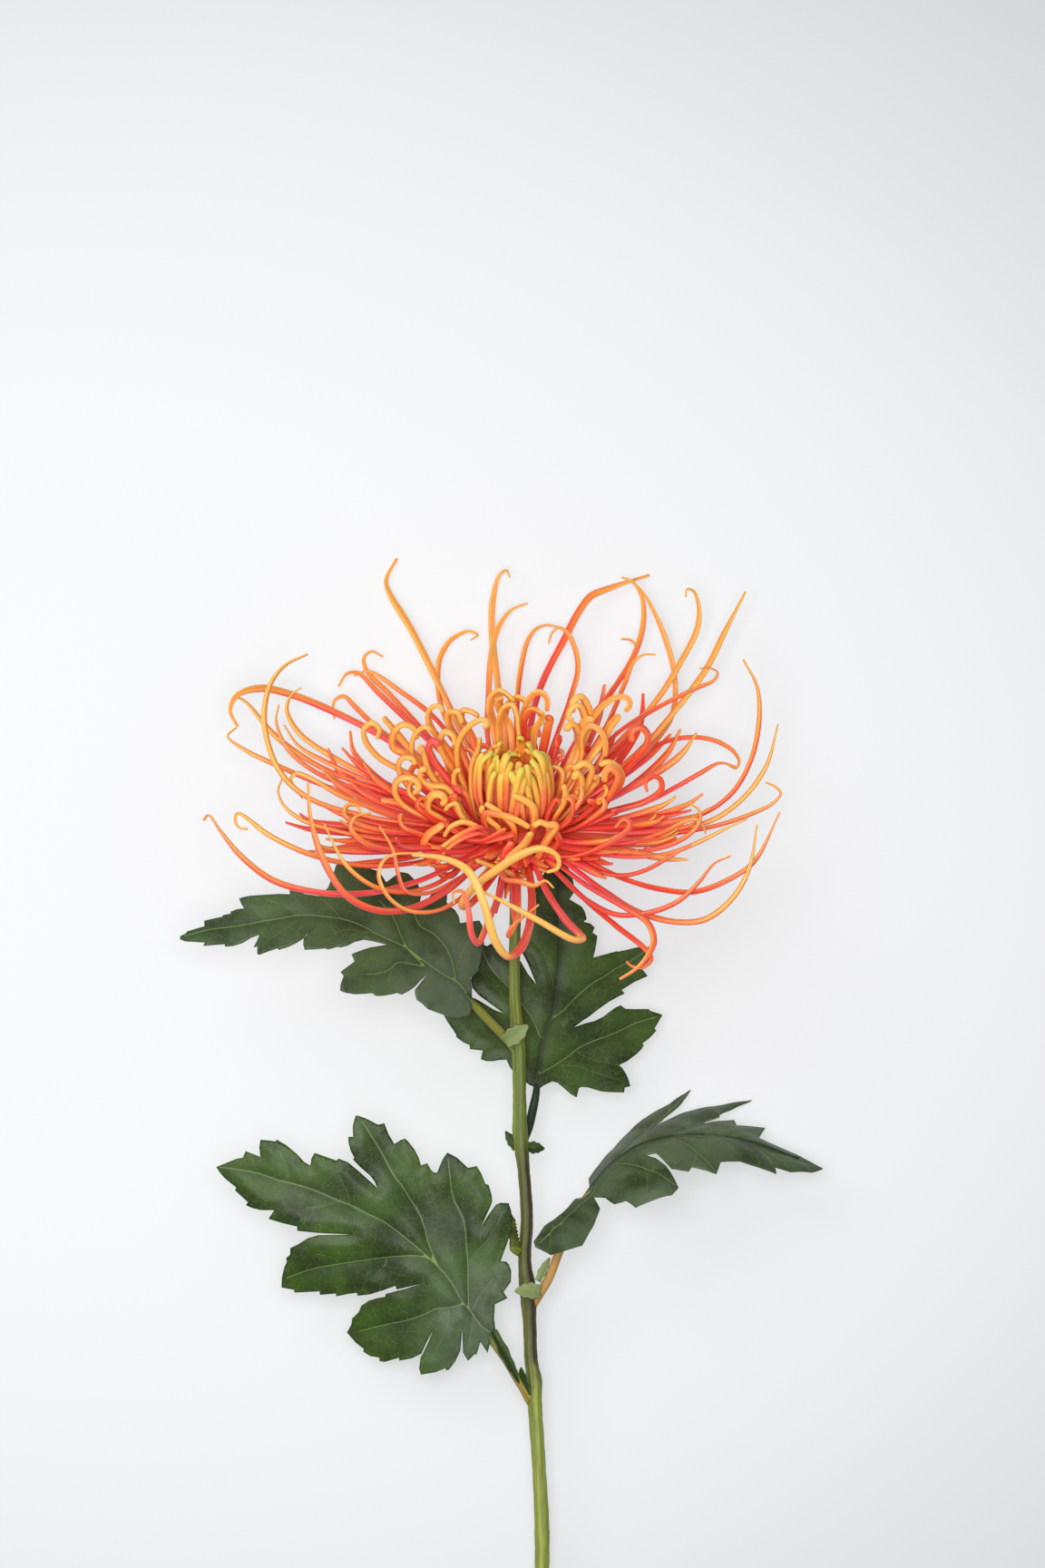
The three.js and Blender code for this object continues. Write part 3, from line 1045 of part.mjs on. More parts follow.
// The blade's middle surface, its upper face turned to the viewer: vertices and triangles.
function bladeSheet(leaf) {
  const midrib = new THREE.CatmullRomCurve3(leaf.midrib.map((p) => vec(...p)), false, "centripetal");
  const ribs = midrib.getSpacedPoints(RIBS);
  const vertices = [];
  const triangles = [];
  const index = new Map();
  const id = (p) => {
    const key = p.toArray().map((v) => v.toFixed(4)).join();
    if (!index.has(key)) index.set(key, vertices.push(p) - 1);
    return index.get(key);
  };
  const place = (side, [x, y, z]) => {
    if (z !== undefined) return vec(x, y, z);
    const away = (rib) => hypot(x - rib.x, y - rib.y);
    const nearest = ribs.reduce((best, rib) => (away(rib) < away(best) ? rib : best));
    const out = away(nearest);
    return vec(x, y, nearest.z + side.rise * out - side.sag * out * out);
  };
  for (const [side, flip] of [[leaf.left, false], [leaf.right, true]]) {
    const add = (outline) => {
      const wound = flip ? outline.reverse() : outline;
      for (const corners of fill(wound)) triangles.push(corners.map((i) => id(wound[i])));
    };
    let foot = 0;
    let notch = [];
    for (const lobe of side.lobes) {
      const tip = place(side, lobe.tip);
      const vein = veinOf(ribs[lobe.foot], tip);
      const before = lobe.before.map((p) => place(side, p)).reverse();
      const after = lobe.after.map((p) => place(side, p)).reverse();
      add([...vein, tip, ...before, ...notch, ...ribs.slice(foot, lobe.foot)]);
      notch = [place(side, lobe.notch)];
      add([tip, ...vein.reverse(), ...notch, ...after]);
      foot = lobe.foot;
    }
    add([...ribs.slice(foot), ...side.end.map((p) => place(side, p)).reverse(), ...notch]);
  }
  return { vertices, triangles };
}

// The blade with its thickness: both faces have the same triangles, joined round the edge.
function bladeSolid(leaf) {
  const { vertices: points, triangles: faces } = bladeSheet(leaf);
  const sheet = geometryOf(points, faces);
  sheet.computeVertexNormals();
  const normals = sheet.getAttribute("normal");
  const normal = (i) => vec(normals.getX(i), normals.getY(i), normals.getZ(i));
  const shifted = (share) =>
    points.map((p, i) => p.clone().addScaledVector(normal(i), share * LEAF_THICKNESS));
  const count = points.length;
  const vertices = [...shifted(0.5), ...shifted(-0.5)];
  const triangles = [...faces, ...faces.map(([a, b, c]) => [a + count, c + count, b + count])];
  const edges = new Set(faces.flatMap(([a, b, c]) => [`${a} ${b}`, `${b} ${c}`, `${c} ${a}`]));
  for (const edge of edges) {
    const [a, b] = edge.split(" ").map(Number);
    if (!edges.has(`${b} ${a}`)) triangles.push([a, a + count, b + count], [a, b + count, b]);
  }
  return solid(geometryOf(vertices, triangles));
}

// A small pointed blade at the foot of a leaf stalk.
function stipule([from, to, face, width]) {
  const start = vec(...from);
  const ahead = vec(...to).sub(start);
  const up = vec(...face).normalize();
  const across = ahead.clone().cross(up).normalize().multiplyScalar(width / 2);
  const outline = [[0, 0.5], [0.35, 1], [0.7, 0.75], [1, 0], [0.7, -0.75], [0.35, -1], [0, -0.5]];
  const points = outline.map(([s, t]) => start.clone().addScaledVector(ahead, s).addScaledVector(across, t));
  const shifted = (share) => points.map((p) => p.clone().addScaledVector(up, share * LEAF_THICKNESS));
  const vertices = [...shifted(0.5), ...shifted(-0.5)];
  const triangles = [];
  const n = points.length;
  for (const [a, b, c] of [[0, 1, 5], [0, 5, 6], [1, 2, 4], [1, 4, 5], [2, 3, 4]]) {
    triangles.push([a, b, c], [a + n, c + n, b + n]);
  }
  for (let i = 0; i < n; i++) {
    const j = (i + 1) % n;
    triangles.push([i, j + n, j], [i, i + n, j + n]);
  }
  return solid(geometryOf(vertices, triangles));
}

// A leaf: blade and stipules on a stalk that runs on under the midrib, all cut clear of the stem.
function makeLeaf(leaf) {
  const midrib = new THREE.CatmullRomCurve3(leaf.midrib.map((p) => vec(...p)), false, "centripetal");
  const under = vec(0, 0, -0.5);
  const rib = [0.12, 0.3, 0.5, 0.7].map((s) => midrib.getPointAt(s).add(under));
  const stalk = leaf.stalk.map((p) => vec(...p).add(under));
  const tapered = (share) => lerp(STALK.radius, STALK.tip, share);
  const pieces = [
    tube(stations([...stalk, ...rib], THREE.MathUtils.degToRad(16), 12), tapered, STALK.sides),
    bladeSolid(leaf),
    ...leaf.stipules.map(stipule),
  ];
  const room = makeStem(CLEARANCE);
  return fuse([wasm.Manifold.union(pieces).subtract(room)]);
}

// ---- The flower ----

const floretMaterial = new THREE.MeshStandardMaterial({ color: 0xee5a2c, roughness: 0.45, metalness: 0 });
const eyeMaterial = new THREE.MeshStandardMaterial({ color: 0xd6b43a, roughness: 0.5, metalness: 0 });
const leafMaterial = new THREE.MeshStandardMaterial({ color: 0x34502c, roughness: 0.5, metalness: 0 });
const stemMaterial = new THREE.MeshStandardMaterial({ color: 0x7c8c3e, roughness: 0.55, metalness: 0 });

const flower = new THREE.Group();
flower.add(
  meshOf("stem", makeStem(), stemMaterial),
  meshOf("calyx", makeCalyx(), stemMaterial),
  meshOf("bloom", makeBloom(), floretMaterial),
  meshOf("eye", makeEye(), eyeMaterial),
  ...LEAVES.map((leaf) => meshOf(leaf.name, makeLeaf(leaf), leafMaterial)),
);

// Lay it down, then put the origin on the surface under the middle of the box round it.
flower.rotation.x = HEAD_LIFT;
const laid = new THREE.Group();
laid.add(flower);
laid.updateMatrixWorld(true);
const box = new THREE.Box3().setFromObject(laid, true);
const middle = box.getCenter(vec(0, 0, 0));
flower.position.set(-middle.x, -middle.y, -box.min.z);

export default laid;
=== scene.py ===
# %% [markdown]
# # A cut spider chrysanthemum on a pale surface
# The flower lies on its back florets and on the cut end of its stem, and the camera looks down
# on it. The packed solids have its form but are plain. They could be coloured as they are. Here
# each is dressed with a finer piece of the same form, because slim florets and toothed leaves
# need far more points than a solid that is easy to handle.

# %% Start
import math

import bpy
import numpy as np
from mathutils.geometry import delaunay_2d_cdt
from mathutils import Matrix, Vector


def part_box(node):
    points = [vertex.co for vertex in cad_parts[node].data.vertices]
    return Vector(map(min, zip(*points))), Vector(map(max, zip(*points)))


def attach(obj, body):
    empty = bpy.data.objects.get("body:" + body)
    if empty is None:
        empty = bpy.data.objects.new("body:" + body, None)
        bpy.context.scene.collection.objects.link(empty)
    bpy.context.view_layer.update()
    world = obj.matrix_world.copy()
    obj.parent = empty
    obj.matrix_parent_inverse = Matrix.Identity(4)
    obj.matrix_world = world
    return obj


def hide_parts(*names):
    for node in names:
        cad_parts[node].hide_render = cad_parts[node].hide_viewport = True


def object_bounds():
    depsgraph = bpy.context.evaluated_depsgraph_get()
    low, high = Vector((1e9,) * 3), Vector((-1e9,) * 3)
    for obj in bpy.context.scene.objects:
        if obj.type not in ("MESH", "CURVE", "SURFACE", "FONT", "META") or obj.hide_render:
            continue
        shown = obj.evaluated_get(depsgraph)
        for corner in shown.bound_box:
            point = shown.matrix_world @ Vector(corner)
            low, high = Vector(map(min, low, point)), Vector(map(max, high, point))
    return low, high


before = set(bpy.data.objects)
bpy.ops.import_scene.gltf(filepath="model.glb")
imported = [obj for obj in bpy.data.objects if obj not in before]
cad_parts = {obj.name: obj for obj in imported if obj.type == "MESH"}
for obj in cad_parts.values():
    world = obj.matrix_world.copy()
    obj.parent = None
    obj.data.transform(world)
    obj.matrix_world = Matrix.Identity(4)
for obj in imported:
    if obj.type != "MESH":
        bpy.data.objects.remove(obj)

solid_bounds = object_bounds()
print("nodes:", ", ".join(sorted(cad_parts)))

# %% [markdown]
# ## Two frames
# The flower grew upright and now lies down. It is described standing, in its own frame and in
# millimetres: X to the right, Y up the stem, Z out of the front, with the origin in the middle of
# the receptacle. The row frame is in metres and has it lying down. A parent object could turn
# the pieces over, but turned points keep every piece's numbers plain, so the points are turned.

# %% From the flower's frame to the row frame
MM = 0.001
HEAD_LIFT = math.radians(8)
TO_ROW = np.array([
    [1, 0, 0],
    [0, math.cos(HEAD_LIFT), -math.sin(HEAD_LIFT)],
    [0, math.sin(HEAD_LIFT), math.cos(HEAD_LIFT)],
])


def rotated(points):
    return np.asarray(points) @ TO_ROW.T * MM


print("1 mm up the stem is, in the row frame,", rotated([0, 1, 0]).round(6))

# %% [markdown]
# ## The bloom's axis
# The bloom leans forwards on its stem, and its florets stand all round an axis of its own. They
# could each be placed by X, Y and Z. A turn round the axis, a radius and a height along it suit
# them better, because neighbours then differ in their turn alone.

# %% Places in the bloom
BLOOM_TILT = math.radians(29)
AXIS = np.array([0, math.cos(BLOOM_TILT), math.sin(BLOOM_TILT)])
BACK = np.array([0, math.sin(BLOOM_TILT), -math.cos(BLOOM_TILT)])


def in_bloom(turn, radius, height):
    """A point at a turn round the bloom's axis, a radius from it and a height along it."""
    return np.array([radius * math.cos(turn), 0, 0]) + BACK * radius * math.sin(turn) + AXIS * height


print("the bloom's axis points to", AXIS.round(3))

# %% [markdown]
# ## Repeatable chance
# No two florets are alike. A random generator deals its numbers in order, so one floret more
# would change all that follow. Here each property of each floret comes from the floret's own
# number and the property's, and stays as it is when others are added.

# %% Chance and soft steps
def chance(i, k):
    """A repeatable number from 0 to 1 for item i of a set and its property k. The last factor is
    so large that what is left when the whole number is dropped looks random."""
    value = math.sin(i * 12.9898 + k * 78.233) * 43758.5453
    return value - math.floor(value)


def between(low, high, i, k):
    return low + (high - low) * chance(i, k)


def smooth(low, high, value):
    """0 below low, 1 above high and a soft step between."""
    share = np.clip((np.asarray(value, float) - low) / (high - low), 0, 1)
    return share * share * (3 - 2 * share)


print("three draws:", [round(between(0, 10, i, 1), 2) for i in range(3)])

# %% [markdown]
# ## Smooth curves
# Florets, stalks and veins are smooth curves. Blender's curve objects could draw them, but their
# handles are slow to place by hand. A Catmull-Rom curve needs only the points that it passes
# through, and its centripetal form makes no loops where these stand close together.

# %% A curve through points
def smooth_curve(points, fine=16):
    """A centripetal Catmull-Rom curve through the points, as many short steps."""
    points = np.asarray(points, float)
    ends = [2 * points[0] - points[1], *points, 2 * points[-1] - points[-2]]
    line = []
    for p0, p1, p2, p3 in zip(ends, ends[1:], ends[2:], ends[3:]):
        d0, d1, d2 = (max(np.linalg.norm(b - a), 1e-6) ** 0.5 for a, b in ((p0, p1), (p1, p2), (p2, p3)))
        m1 = ((p1 - p0) / d0 - (p2 - p0) / (d0 + d1) + (p2 - p1) / d1) * d1
        m2 = ((p2 - p1) / d1 - (p3 - p1) / (d1 + d2) + (p3 - p2) / d2) * d1
        t = np.linspace(0, 1, fine, endpoint=False)[:, None]
        line.append(
            (2 * t**3 - 3 * t**2 + 1) * p1 + (t**3 - 2 * t**2 + t) * m1
            + (3 * t**2 - 2 * t**3) * p2 + (t**3 - t**2) * m2
        )
    return np.vstack([*line, points[-1:]])


print("a right angle becomes", len(smooth_curve([[0, 0, 0], [10, 0, 0], [10, 10, 0]])), "points")

# %% [markdown]
# ## Steps along a curve
# A floret that hooks over needs many rings in the hook and few along its straight part. Equal
# steps could be made short enough for the hook, but would waste points on the straight. So a
# turn of the line counts as extra length.

# %% Points spaced along a curve
def spaced(line, count, hook_weight=0.0):
    """count points along a line. hook_weight millimetres are added for each radian that it turns."""
    step = np.diff(line, axis=0)
    length = np.linalg.norm(step, axis=1)
    ahead = step / np.maximum(length, 1e-9)[:, None]
    turn = np.arccos(np.clip((ahead[1:] * ahead[:-1]).sum(1), -1, 1))
    cost = length + hook_weight * np.append(turn, 0)
    along = np.concatenate([[0], np.cumsum(cost)])
    true = np.concatenate([[0], np.cumsum(length)])
    at = np.linspace(0, along[-1], count)
    points = np.stack([np.interp(at, along, line[:, k]) for k in range(3)], 1)
    return points, np.interp(at, along, true)


corner = smooth_curve([[0, 0, 0], [9, 0, 0], [9, 9, 0]])
print("three points round a corner, in mm along it:", spaced(corner, 3)[1].round(1))

# %% [markdown]
# ## A direction carried along
# A floret's seam runs along one side of it and doesn't wind round it. The side could be worked
# out afresh at each ring, but it would jump wherever the floret points at the viewer. Carrying
# it from each ring to the next avoids that.

# %% Side directions
def carried(line, up):
    """Unit directions along a line, and a side direction carried along it without twisting."""
    ahead = np.gradient(line, axis=0)
    ahead /= np.linalg.norm(ahead, axis=1)[:, None]
    side = np.array(up, float)
    sides = []
    for direction in ahead:
        side = side - direction * (side @ direction)
        side = side / max(np.linalg.norm(side), 1e-9)
        sides.append(side)
    return ahead, np.array(sides)


print("side carried round the corner:", carried(corner, [1, 0, 1])[1][-1].round(2))

# %% [markdown]
# ## The stem's line
# The real stem is a ribbed rod, about 4 mm thick, that swells and bends a little at each joint.
# A plain cylinder would look like wire. Here the centre and the radius are given at each joint
# and between, and ribs and a slight wobble are added. Each row is X, Y, Z and the radius.

# %% Stem
STEM = [
    [0, -11.2, -5.2, 1.6],
    [0, -22, -5, 1.5],
    [-0.2, -46, -2.5, 1.5],
    [0.6, -56, -1, 1.95],
    [1, -62, -0.4, 1.8],
    [1.2, -74, 0, 1.75],
    [1.4, -84, 0.4, 2.05],
    [2.4, -94, 0.8, 1.6],
    [3.2, -107, 0.8, 1.65],
    [2.6, -118, 0.4, 1.7],
    [3.4, -126, 0, 2.25],
    [4, -136, -0.3, 1.75],
    [4.4, -146, -0.3, 1.75],
    [5.2, -151, -0.2, 2.1],
    [5.4, -158, 0, 1.9],
    [6.6, -176, 0.6, 1.8],
    [7.4, -193, 0.8, 2],
    [7.2, -210, 0.6, 1.85],
    [6.2, -238, 0, 1.95],
    [6.6, -268, -0.4, 1.9],
]
STEM_FINE = 12
STEM_SIDES = 36
STEM_RIBS = 6
RIB_HEIGHT = 0.045
CUT_SLANT = 0.6


def stem_rings():
    """The stem's centres and radii, swollen sharply at each joint."""
    table = np.array(STEM)
    line = smooth_curve(table[:, :3], STEM_FINE)
    radius = np.interp(np.arange(len(line)) / STEM_FINE, np.arange(len(table)), table[:, 3])
    return line, radius


def stem_points():
    """The stem's rings of points, with the last one cut at a slant."""
    line, radius = stem_rings()
    turn = np.linspace(0, 2 * math.pi, STEM_SIDES, endpoint=False)
    ribs = 1 + RIB_HEIGHT * np.cos(STEM_RIBS * turn)
    wobble = 1 + 0.02 * np.sin(line[:, 1:2] * 0.9 + 2 * turn) + 0.015 * np.sin(line[:, 1:2] * 2.3)
    reach = radius[:, None] * ribs * wobble
    rings = np.repeat(line[:, None, :], STEM_SIDES, 1)
    rings[:, :, 0] += reach * np.cos(turn)
    rings[:, :, 2] += reach * np.sin(turn)
    rings[-1, :, 1] += (reach * np.cos(turn))[-1] * CUT_SLANT
    return rings


print("the stem has", len(stem_points()), "rings of", STEM_SIDES, "points")

# %% [markdown]
# ## Where the flower lies
# The packed solids lie in the row frame already. The flower's origin there could be typed in,
# but it would go wrong if the pack were laid down anew. So the packed stem's box is measured and
# the stem made here is set in the middle of it, which places everything else too.

# %% The flower's place
own = rotated(stem_points().reshape(-1, 3))
stem_low, stem_high = (np.array(corner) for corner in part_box("stem"))
ROW_OFFSET = (stem_low + stem_high) / 2 - (own.min(0) + own.max(0)) / 2


def to_row(points):
    low, high = (np.array(corner) for corner in solid_bounds)
    return np.clip(rotated(points) + ROW_OFFSET, low, high)


print("flower's origin in the row frame, in mm:", (ROW_OFFSET / MM).round(2))

# %% [markdown]
# ## Skins
# A piece such as the ring of long florets is one object made of many small forms. Many objects
# could be made and joined. Gathering plain lists first is quicker, and each form can bring
# values of its own, such as its tint, which the material reads later as attributes.

# %% Skin
class Skin:
    """Points, faces and named values of one piece, gathered part by part."""

    def __init__(self):
        self.points, self.faces, self.values, self.count = [], [], {}, 0

    def add(self, points, faces, **values):
        for name, value in values.items():
            filled = np.broadcast_to(np.asarray(value, float), len(points))
            self.values.setdefault(name, []).append(filled)
        self.faces += [[i + self.count for i in face] for face in faces]
        self.points.append(points)
        self.count += len(points)


print("a skin starts with", Skin().count, "points")

# %% [markdown]
# ## Pieces
# A skin becomes one object that moves with the flower and stands in for the solids it replaces.
# Points that chance puts outside the packed solids' box are pulled back to it, which is plainer
# than testing every draw.

# %% From a skin to a piece
def make_piece(name, skin, material, replaces=()):
    mesh = bpy.data.meshes.new(name)
    mesh.from_pydata(to_row(np.vstack(skin.points)).tolist(), [], skin.faces)
    for key, parts in skin.values.items():
        attribute = mesh.attributes.new(key, "FLOAT", "POINT")
        attribute.data.foreach_set("value", np.concatenate(parts).astype(np.float32))
    mesh.polygons.foreach_set("use_smooth", [True] * len(mesh.polygons))
    mesh.materials.append(material)
    mesh.update()
    piece = bpy.data.objects.new(name, mesh)
    bpy.context.scene.collection.objects.link(piece)
    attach(piece, "root")
    if replaces:
        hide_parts(*replaces)
    print(f"{name}: {sum(len(f) - 2 for f in skin.faces)} triangles")


print("pieces stay between", *[[round(v / MM) for v in corner] for corner in solid_bounds], "mm")

# %% [markdown]
# ## Tubes
# Florets, bracts, stalks and the stem are all rings of points joined into tubes. A curve with a
# bevel could make them, but it can't sink a seam along one side or keep a value for each ring.
# Rings of points can do both.

# %% Rings and tubes
SEAM_SPREAD = 0.7


def ring_faces(rings, sides):
    """Faces of a tube whose two end points come after all its rings."""
    faces = [
        [i * sides + k, i * sides + (k + 1) % sides, (i + 1) * sides + (k + 1) % sides, (i + 1) * sides + k]
        for i in range(rings - 1)
        for k in range(sides)
    ]
    last = (rings - 1) * sides
    faces += [[(k + 1) % sides, k, rings * sides] for k in range(sides)]
    return faces + [[last + k, last + (k + 1) % sides, rings * sides + 1] for k in range(sides)]


def tube(line, radius, sides, up, groove=0.0, flat=1.0):
    """Points and faces of a tube, closed by a point at each end. groove is how deep the seam on its
    upper side is, as a share of the radius, and may change along it. Returns the points' turns too."""
    ahead, side = carried(line, up)
    over = np.cross(ahead, side)
    turn = np.linspace(0, 2 * math.pi, sides, endpoint=False)
    seam = np.exp(-((np.minimum(turn, 2 * math.pi - turn) / SEAM_SPREAD) ** 2))
    reach = np.asarray(radius)[:, None] * (1 - np.asarray(groove).reshape(-1, 1) * seam[None, :])
    ring = (
        line[:, None, :]
        + (reach * np.cos(turn) * flat)[:, :, None] * side[:, None, :]
        + (reach * np.sin(turn))[:, :, None] * over[:, None, :]
    )
    points = np.vstack([ring.reshape(-1, 3), line[:1], line[-1:]])
    turns = np.append(np.tile(turn, len(line)), [0, 0])
    return points, ring_faces(len(line), sides), turns


def per_ring(values, sides):
    """A value for each ring, spread over the points of a tube."""
    return np.concatenate([np.repeat(values, sides), values[:1], values[-1:]])


print("a tube of 10 rings of 8 points has", len(ring_faces(10, 8)), "faces")

# %% [markdown]
# ## Shader arithmetic
# A petal's colour depends on where on the floret a point is, and that takes many small sums. In
# the shader editor each sum is a Math node, joined up by hand. A Value wraps one socket of a
# node tree so that sums can be written as sums, and each one makes its node.

# %% Values
class Value:
    """One socket of a node tree, which sums and products join to new nodes."""

    def __init__(self, tree, socket):
        self.tree, self.socket = tree, socket

    def node(self, kind, settings=(), output=0, **inputs):
        return make_node(self.tree, kind, dict(settings), output, inputs)

    def math(self, operation, *others):
        made = self.tree.nodes.new("ShaderNodeMath")
        made.operation = operation
        for socket, value in zip(made.inputs, others):
            plug(self.tree, value, socket)
        return Value(self.tree, made.outputs[0])

    def __add__(self, other):
        return self.math("ADD", self, other)

    def __sub__(self, other):
        return self.math("SUBTRACT", self, other)

    def __rsub__(self, other):
        return self.math("SUBTRACT", other, self)

    def __mul__(self, other):
        return self.math("MULTIPLY", self, other)

    __radd__ = __add__
    __rmul__ = __mul__

    def ramp(self, low, high):
        """0 below low, 1 above high and smooth between."""
        return self.node(
            "ShaderNodeMapRange", {"interpolation_type": "SMOOTHSTEP"}, Value=self,
            From_Min=low, From_Max=high,
        )

    def mix(self, low, high):
        """The colour low where this is 0 and high where it is 1."""
        return blended(self.tree, "MIX", self, low, high)

    def tinted(self, by):
        """This colour multiplied by another."""
        return blended(self.tree, "MULTIPLY", 1.0, self, by)


print("a Value has", ", ".join(name for name in vars(Value) if not name.startswith("_")))

# %% [markdown]
# ## Other nodes
# Colours are mixed by Mix nodes, which keep them colours, and are written as six hexadecimal
# digits, as colour pickers show them. A method for each other kind of node would make a long
# class, so one does for all: the node's type, its settings first, because they can change its
# sockets, and then its sockets.

# %% Plugs and nodes
def colour(code):
    """A linear colour from its usual six hexadecimal digits."""
    shares = [int(code[i:i + 2], 16) / 255 for i in (1, 3, 5)]
    linear = [s / 12.92 if s <= 0.04045 else ((s + 0.055) / 1.055) ** 2.4 for s in shares]
    return (*linear, 1.0)


def plug(tree, value, socket):
    """Link a Value to a socket, or set a number or a colour there."""
    if isinstance(value, Value):
        tree.links.new(value.socket, socket)
    else:
        socket.default_value = colour(value) if isinstance(value, str) else value


def blended(tree, way, share, low, high):
    """Two colours through a Mix node, which keeps them colours."""
    made = tree.nodes.new("ShaderNodeMix")
    made.data_type, made.blend_type = "RGBA", way
    colours = [socket for socket in made.inputs if socket.type == "RGBA"]
    for socket, value in zip([made.inputs[0], *colours], (share, low, high)):
        plug(tree, value, socket)
    return Value(tree, next(socket for socket in made.outputs if socket.type == "RGBA"))


def make_node(tree, kind, settings, output, inputs):
    """Any other node: its settings first, then its sockets, with _ for a space in their names."""
    made = tree.nodes.new(kind)
    for name, setting in settings.items():
        setattr(made, name, setting)
    for name, value in inputs.items():
        plug(tree, value, made.inputs[name.replace("_", " ")])
    return Value(tree, made.outputs[output])


print("mid grey, #808080, is", round(colour("#808080")[0], 3), "in linear light")

# %% [markdown]
# ## What colours are made from
# Each piece carries attributes from its skin, and a noise texture adds what chance does. An image
# wrapped round the florets could do the same, but would blur in close view and fit one shape
# only.

# %% Attributes and noise
def attribute(tree, name):
    return make_node(tree, "ShaderNodeAttribute", {"attribute_name": name}, "Fac", {})


def attributes(tree, *names):
    return [attribute(tree, name) for name in names]


def noise(tree, scale, detail, place):
    inputs = {"Scale": scale, "Detail": detail, "Vector": place}
    return make_node(tree, "ShaderNodeTexNoise", {}, 0, inputs)


def vector(tree, x, y, z):
    return make_node(tree, "ShaderNodeCombineXYZ", {}, 0, {"X": x, "Y": y, "Z": z})


print("noise is laid over attributes such as along, across and down")

# %% [markdown]
# ## Materials
# Petals, stem, leaves and floor could each have shaders of their own kind. One Principled shader
# does for all, so a material is told by the values and constants that go into its inputs.

# %% Material
def material(name, build, **constants):
    """A material whose build function returns what goes into its Principled shader's inputs."""
    made = bpy.data.materials.new(name)
    made.use_nodes = True
    tree = made.node_tree
    shader = next(n for n in tree.nodes if n.type == "BSDF_PRINCIPLED")
    for key, value in {**constants, **build(tree)}.items():
        plug(tree, value, shader.inputs[key.replace("_", " ")])
    return made


print("materials for Blender", bpy.app.version_string)

# %% [markdown]
# ## Florets' colour
# A floret is crimson or coral at its root and turns to amber somewhere along its length, each at
# its own place, with fine streaks along it. One ramp from root to tip would make all alike. Here
# the place where amber begins is an attribute and noise frays it. Painted light makes the side
# that faces the way the bloom faces, towards the lights, turn amber sooner than the side below,
# and by chance one flank of each floret turns amber before the other. The seam's groove on the
# lit side is painted darker, as painted shade. Light passes a little way into the petal.

# %% Floret material
def floret_colour(tree):
    along, amber, tint = attributes(tree, "along", "amber", "tint")
    across, over, down = attributes(tree, "across", "over", "down")
    patches = noise(tree, 1.0, 2.0, vector(tree, across * 0.6, over * 0.6, down * 0.05 + tint * 37.0))
    streaks = noise(tree, 1.0, 2.0, vector(tree, across * 2.4, over * 2.4, down * 0.03 + tint * 91.0))
    # Painted light: the across side faces the way the bloom faces, towards the lights, and turns amber
    # sooner. The over term is chance.
    turned = across * 0.7 + over * (tint - 0.5) * 2.0
    ripeness_and_light = along + patches * 0.3 + turned * 0.24 - amber - 0.15
    red = along.ramp(0.0, 0.7).mix("#DC2E20", "#EA4630")
    pink = (tint.ramp(0.35, 0.8) * streaks.ramp(0.2, 0.6)).mix(red, "#F44E5A")
    orange = ripeness_and_light.ramp(-0.26, 0.0).mix(pink, "#FA8440")
    gold = ripeness_and_light.ramp(-0.04, 0.18).mix(orange, "#FABA58")
    streaked = (streaks.ramp(0.48, 0.75) * 0.5).mix(gold, "#FFBC92")
    # Painted shade: the seam's groove, on the across side, is darkened.
    shaded = (across.ramp(0.55, 0.98) * 0.45).mix(streaked, streaked.tinted("#E8926A"))
    return {"Base Color": shaded}


SOFT = {"Subsurface_Weight": 0.3, "Subsurface_Scale": 0.0015, "Specular_IOR_Level": 0.4}
floret_material = material("floret", floret_colour, Roughness=0.38, **SOFT)
print("made", floret_material.name)

# %% [markdown]
# ## The eye's colour
# The eye's florets are still young: red at the foot, golden above and greenish at the tip. The
# other florets' material could be bent to this, but a second short one is plainer.

# %% Eye material
def eye_colour(tree):
    along, tint = attributes(tree, "along", "tint")
    across, over, down = attributes(tree, "across", "over", "down")
    streaks = noise(tree, 1.0, 2.0, vector(tree, across * 2.0, over * 2.0, down * 0.08 + tint * 53.0))
    low = along.ramp(0.15, 0.5).mix("#DC4428", "#F47C50")
    high = (along + tint * 0.5 + streaks * 0.2).ramp(0.85, 1.3).mix(low, "#F8C04A")
    green = (along.ramp(0.78, 0.98) * tint.ramp(0.2, 0.8) * 0.75).mix(high, "#C6CC48")
    streaked = (streaks.ramp(0.45, 0.75) * 0.3).mix(green, "#FCD890")
    # Painted shade: the side of each floret that faces into the barrel is darkened.
    shaded = (across.ramp(0.3, 0.95) * 0.6).mix(streaked, streaked.tinted("#E8885C"))
    return {"Base Color": shaded}


eye_material = material("eye_floret", eye_colour, Roughness=0.42, **SOFT)
print("made", eye_material.name)

# %% [markdown]
# ## A floret's ends
# A real floret is a petal rolled into a slim tube, open along a seam. Its root stands on the
# receptacle, and its tip closes to a small dome. A tube that just stopped would show a flat end,
# so its last rings close up as on a ball.

# %% Roots and tips
ROOT_RADIUS = 6
ROOT_HEIGHT = -2.5
DOME_ANGLES = [0, 30, 55, 75, 88]


def root_towards(point):
    """Where a floret that leads to a point stands on the receptacle."""
    turn = math.atan2(point @ BACK, point[0])
    return in_bloom(turn, ROOT_RADIUS, ROOT_HEIGHT)


def domed(line, down, radius):
    """The line with its last stretch, as long as the radius, given close rings for a round tip."""
    total = down[-1]
    arc = np.radians(DOME_ANGLES)
    kept = down[down < total - radius * 1.1]
    at = np.concatenate([kept, total - radius + radius * np.sin(arc)])
    points = np.stack([np.interp(at, down, line[:, k]) for k in range(3)], 1)
    return points, at, np.concatenate([np.ones(len(kept)), np.cos(arc)])


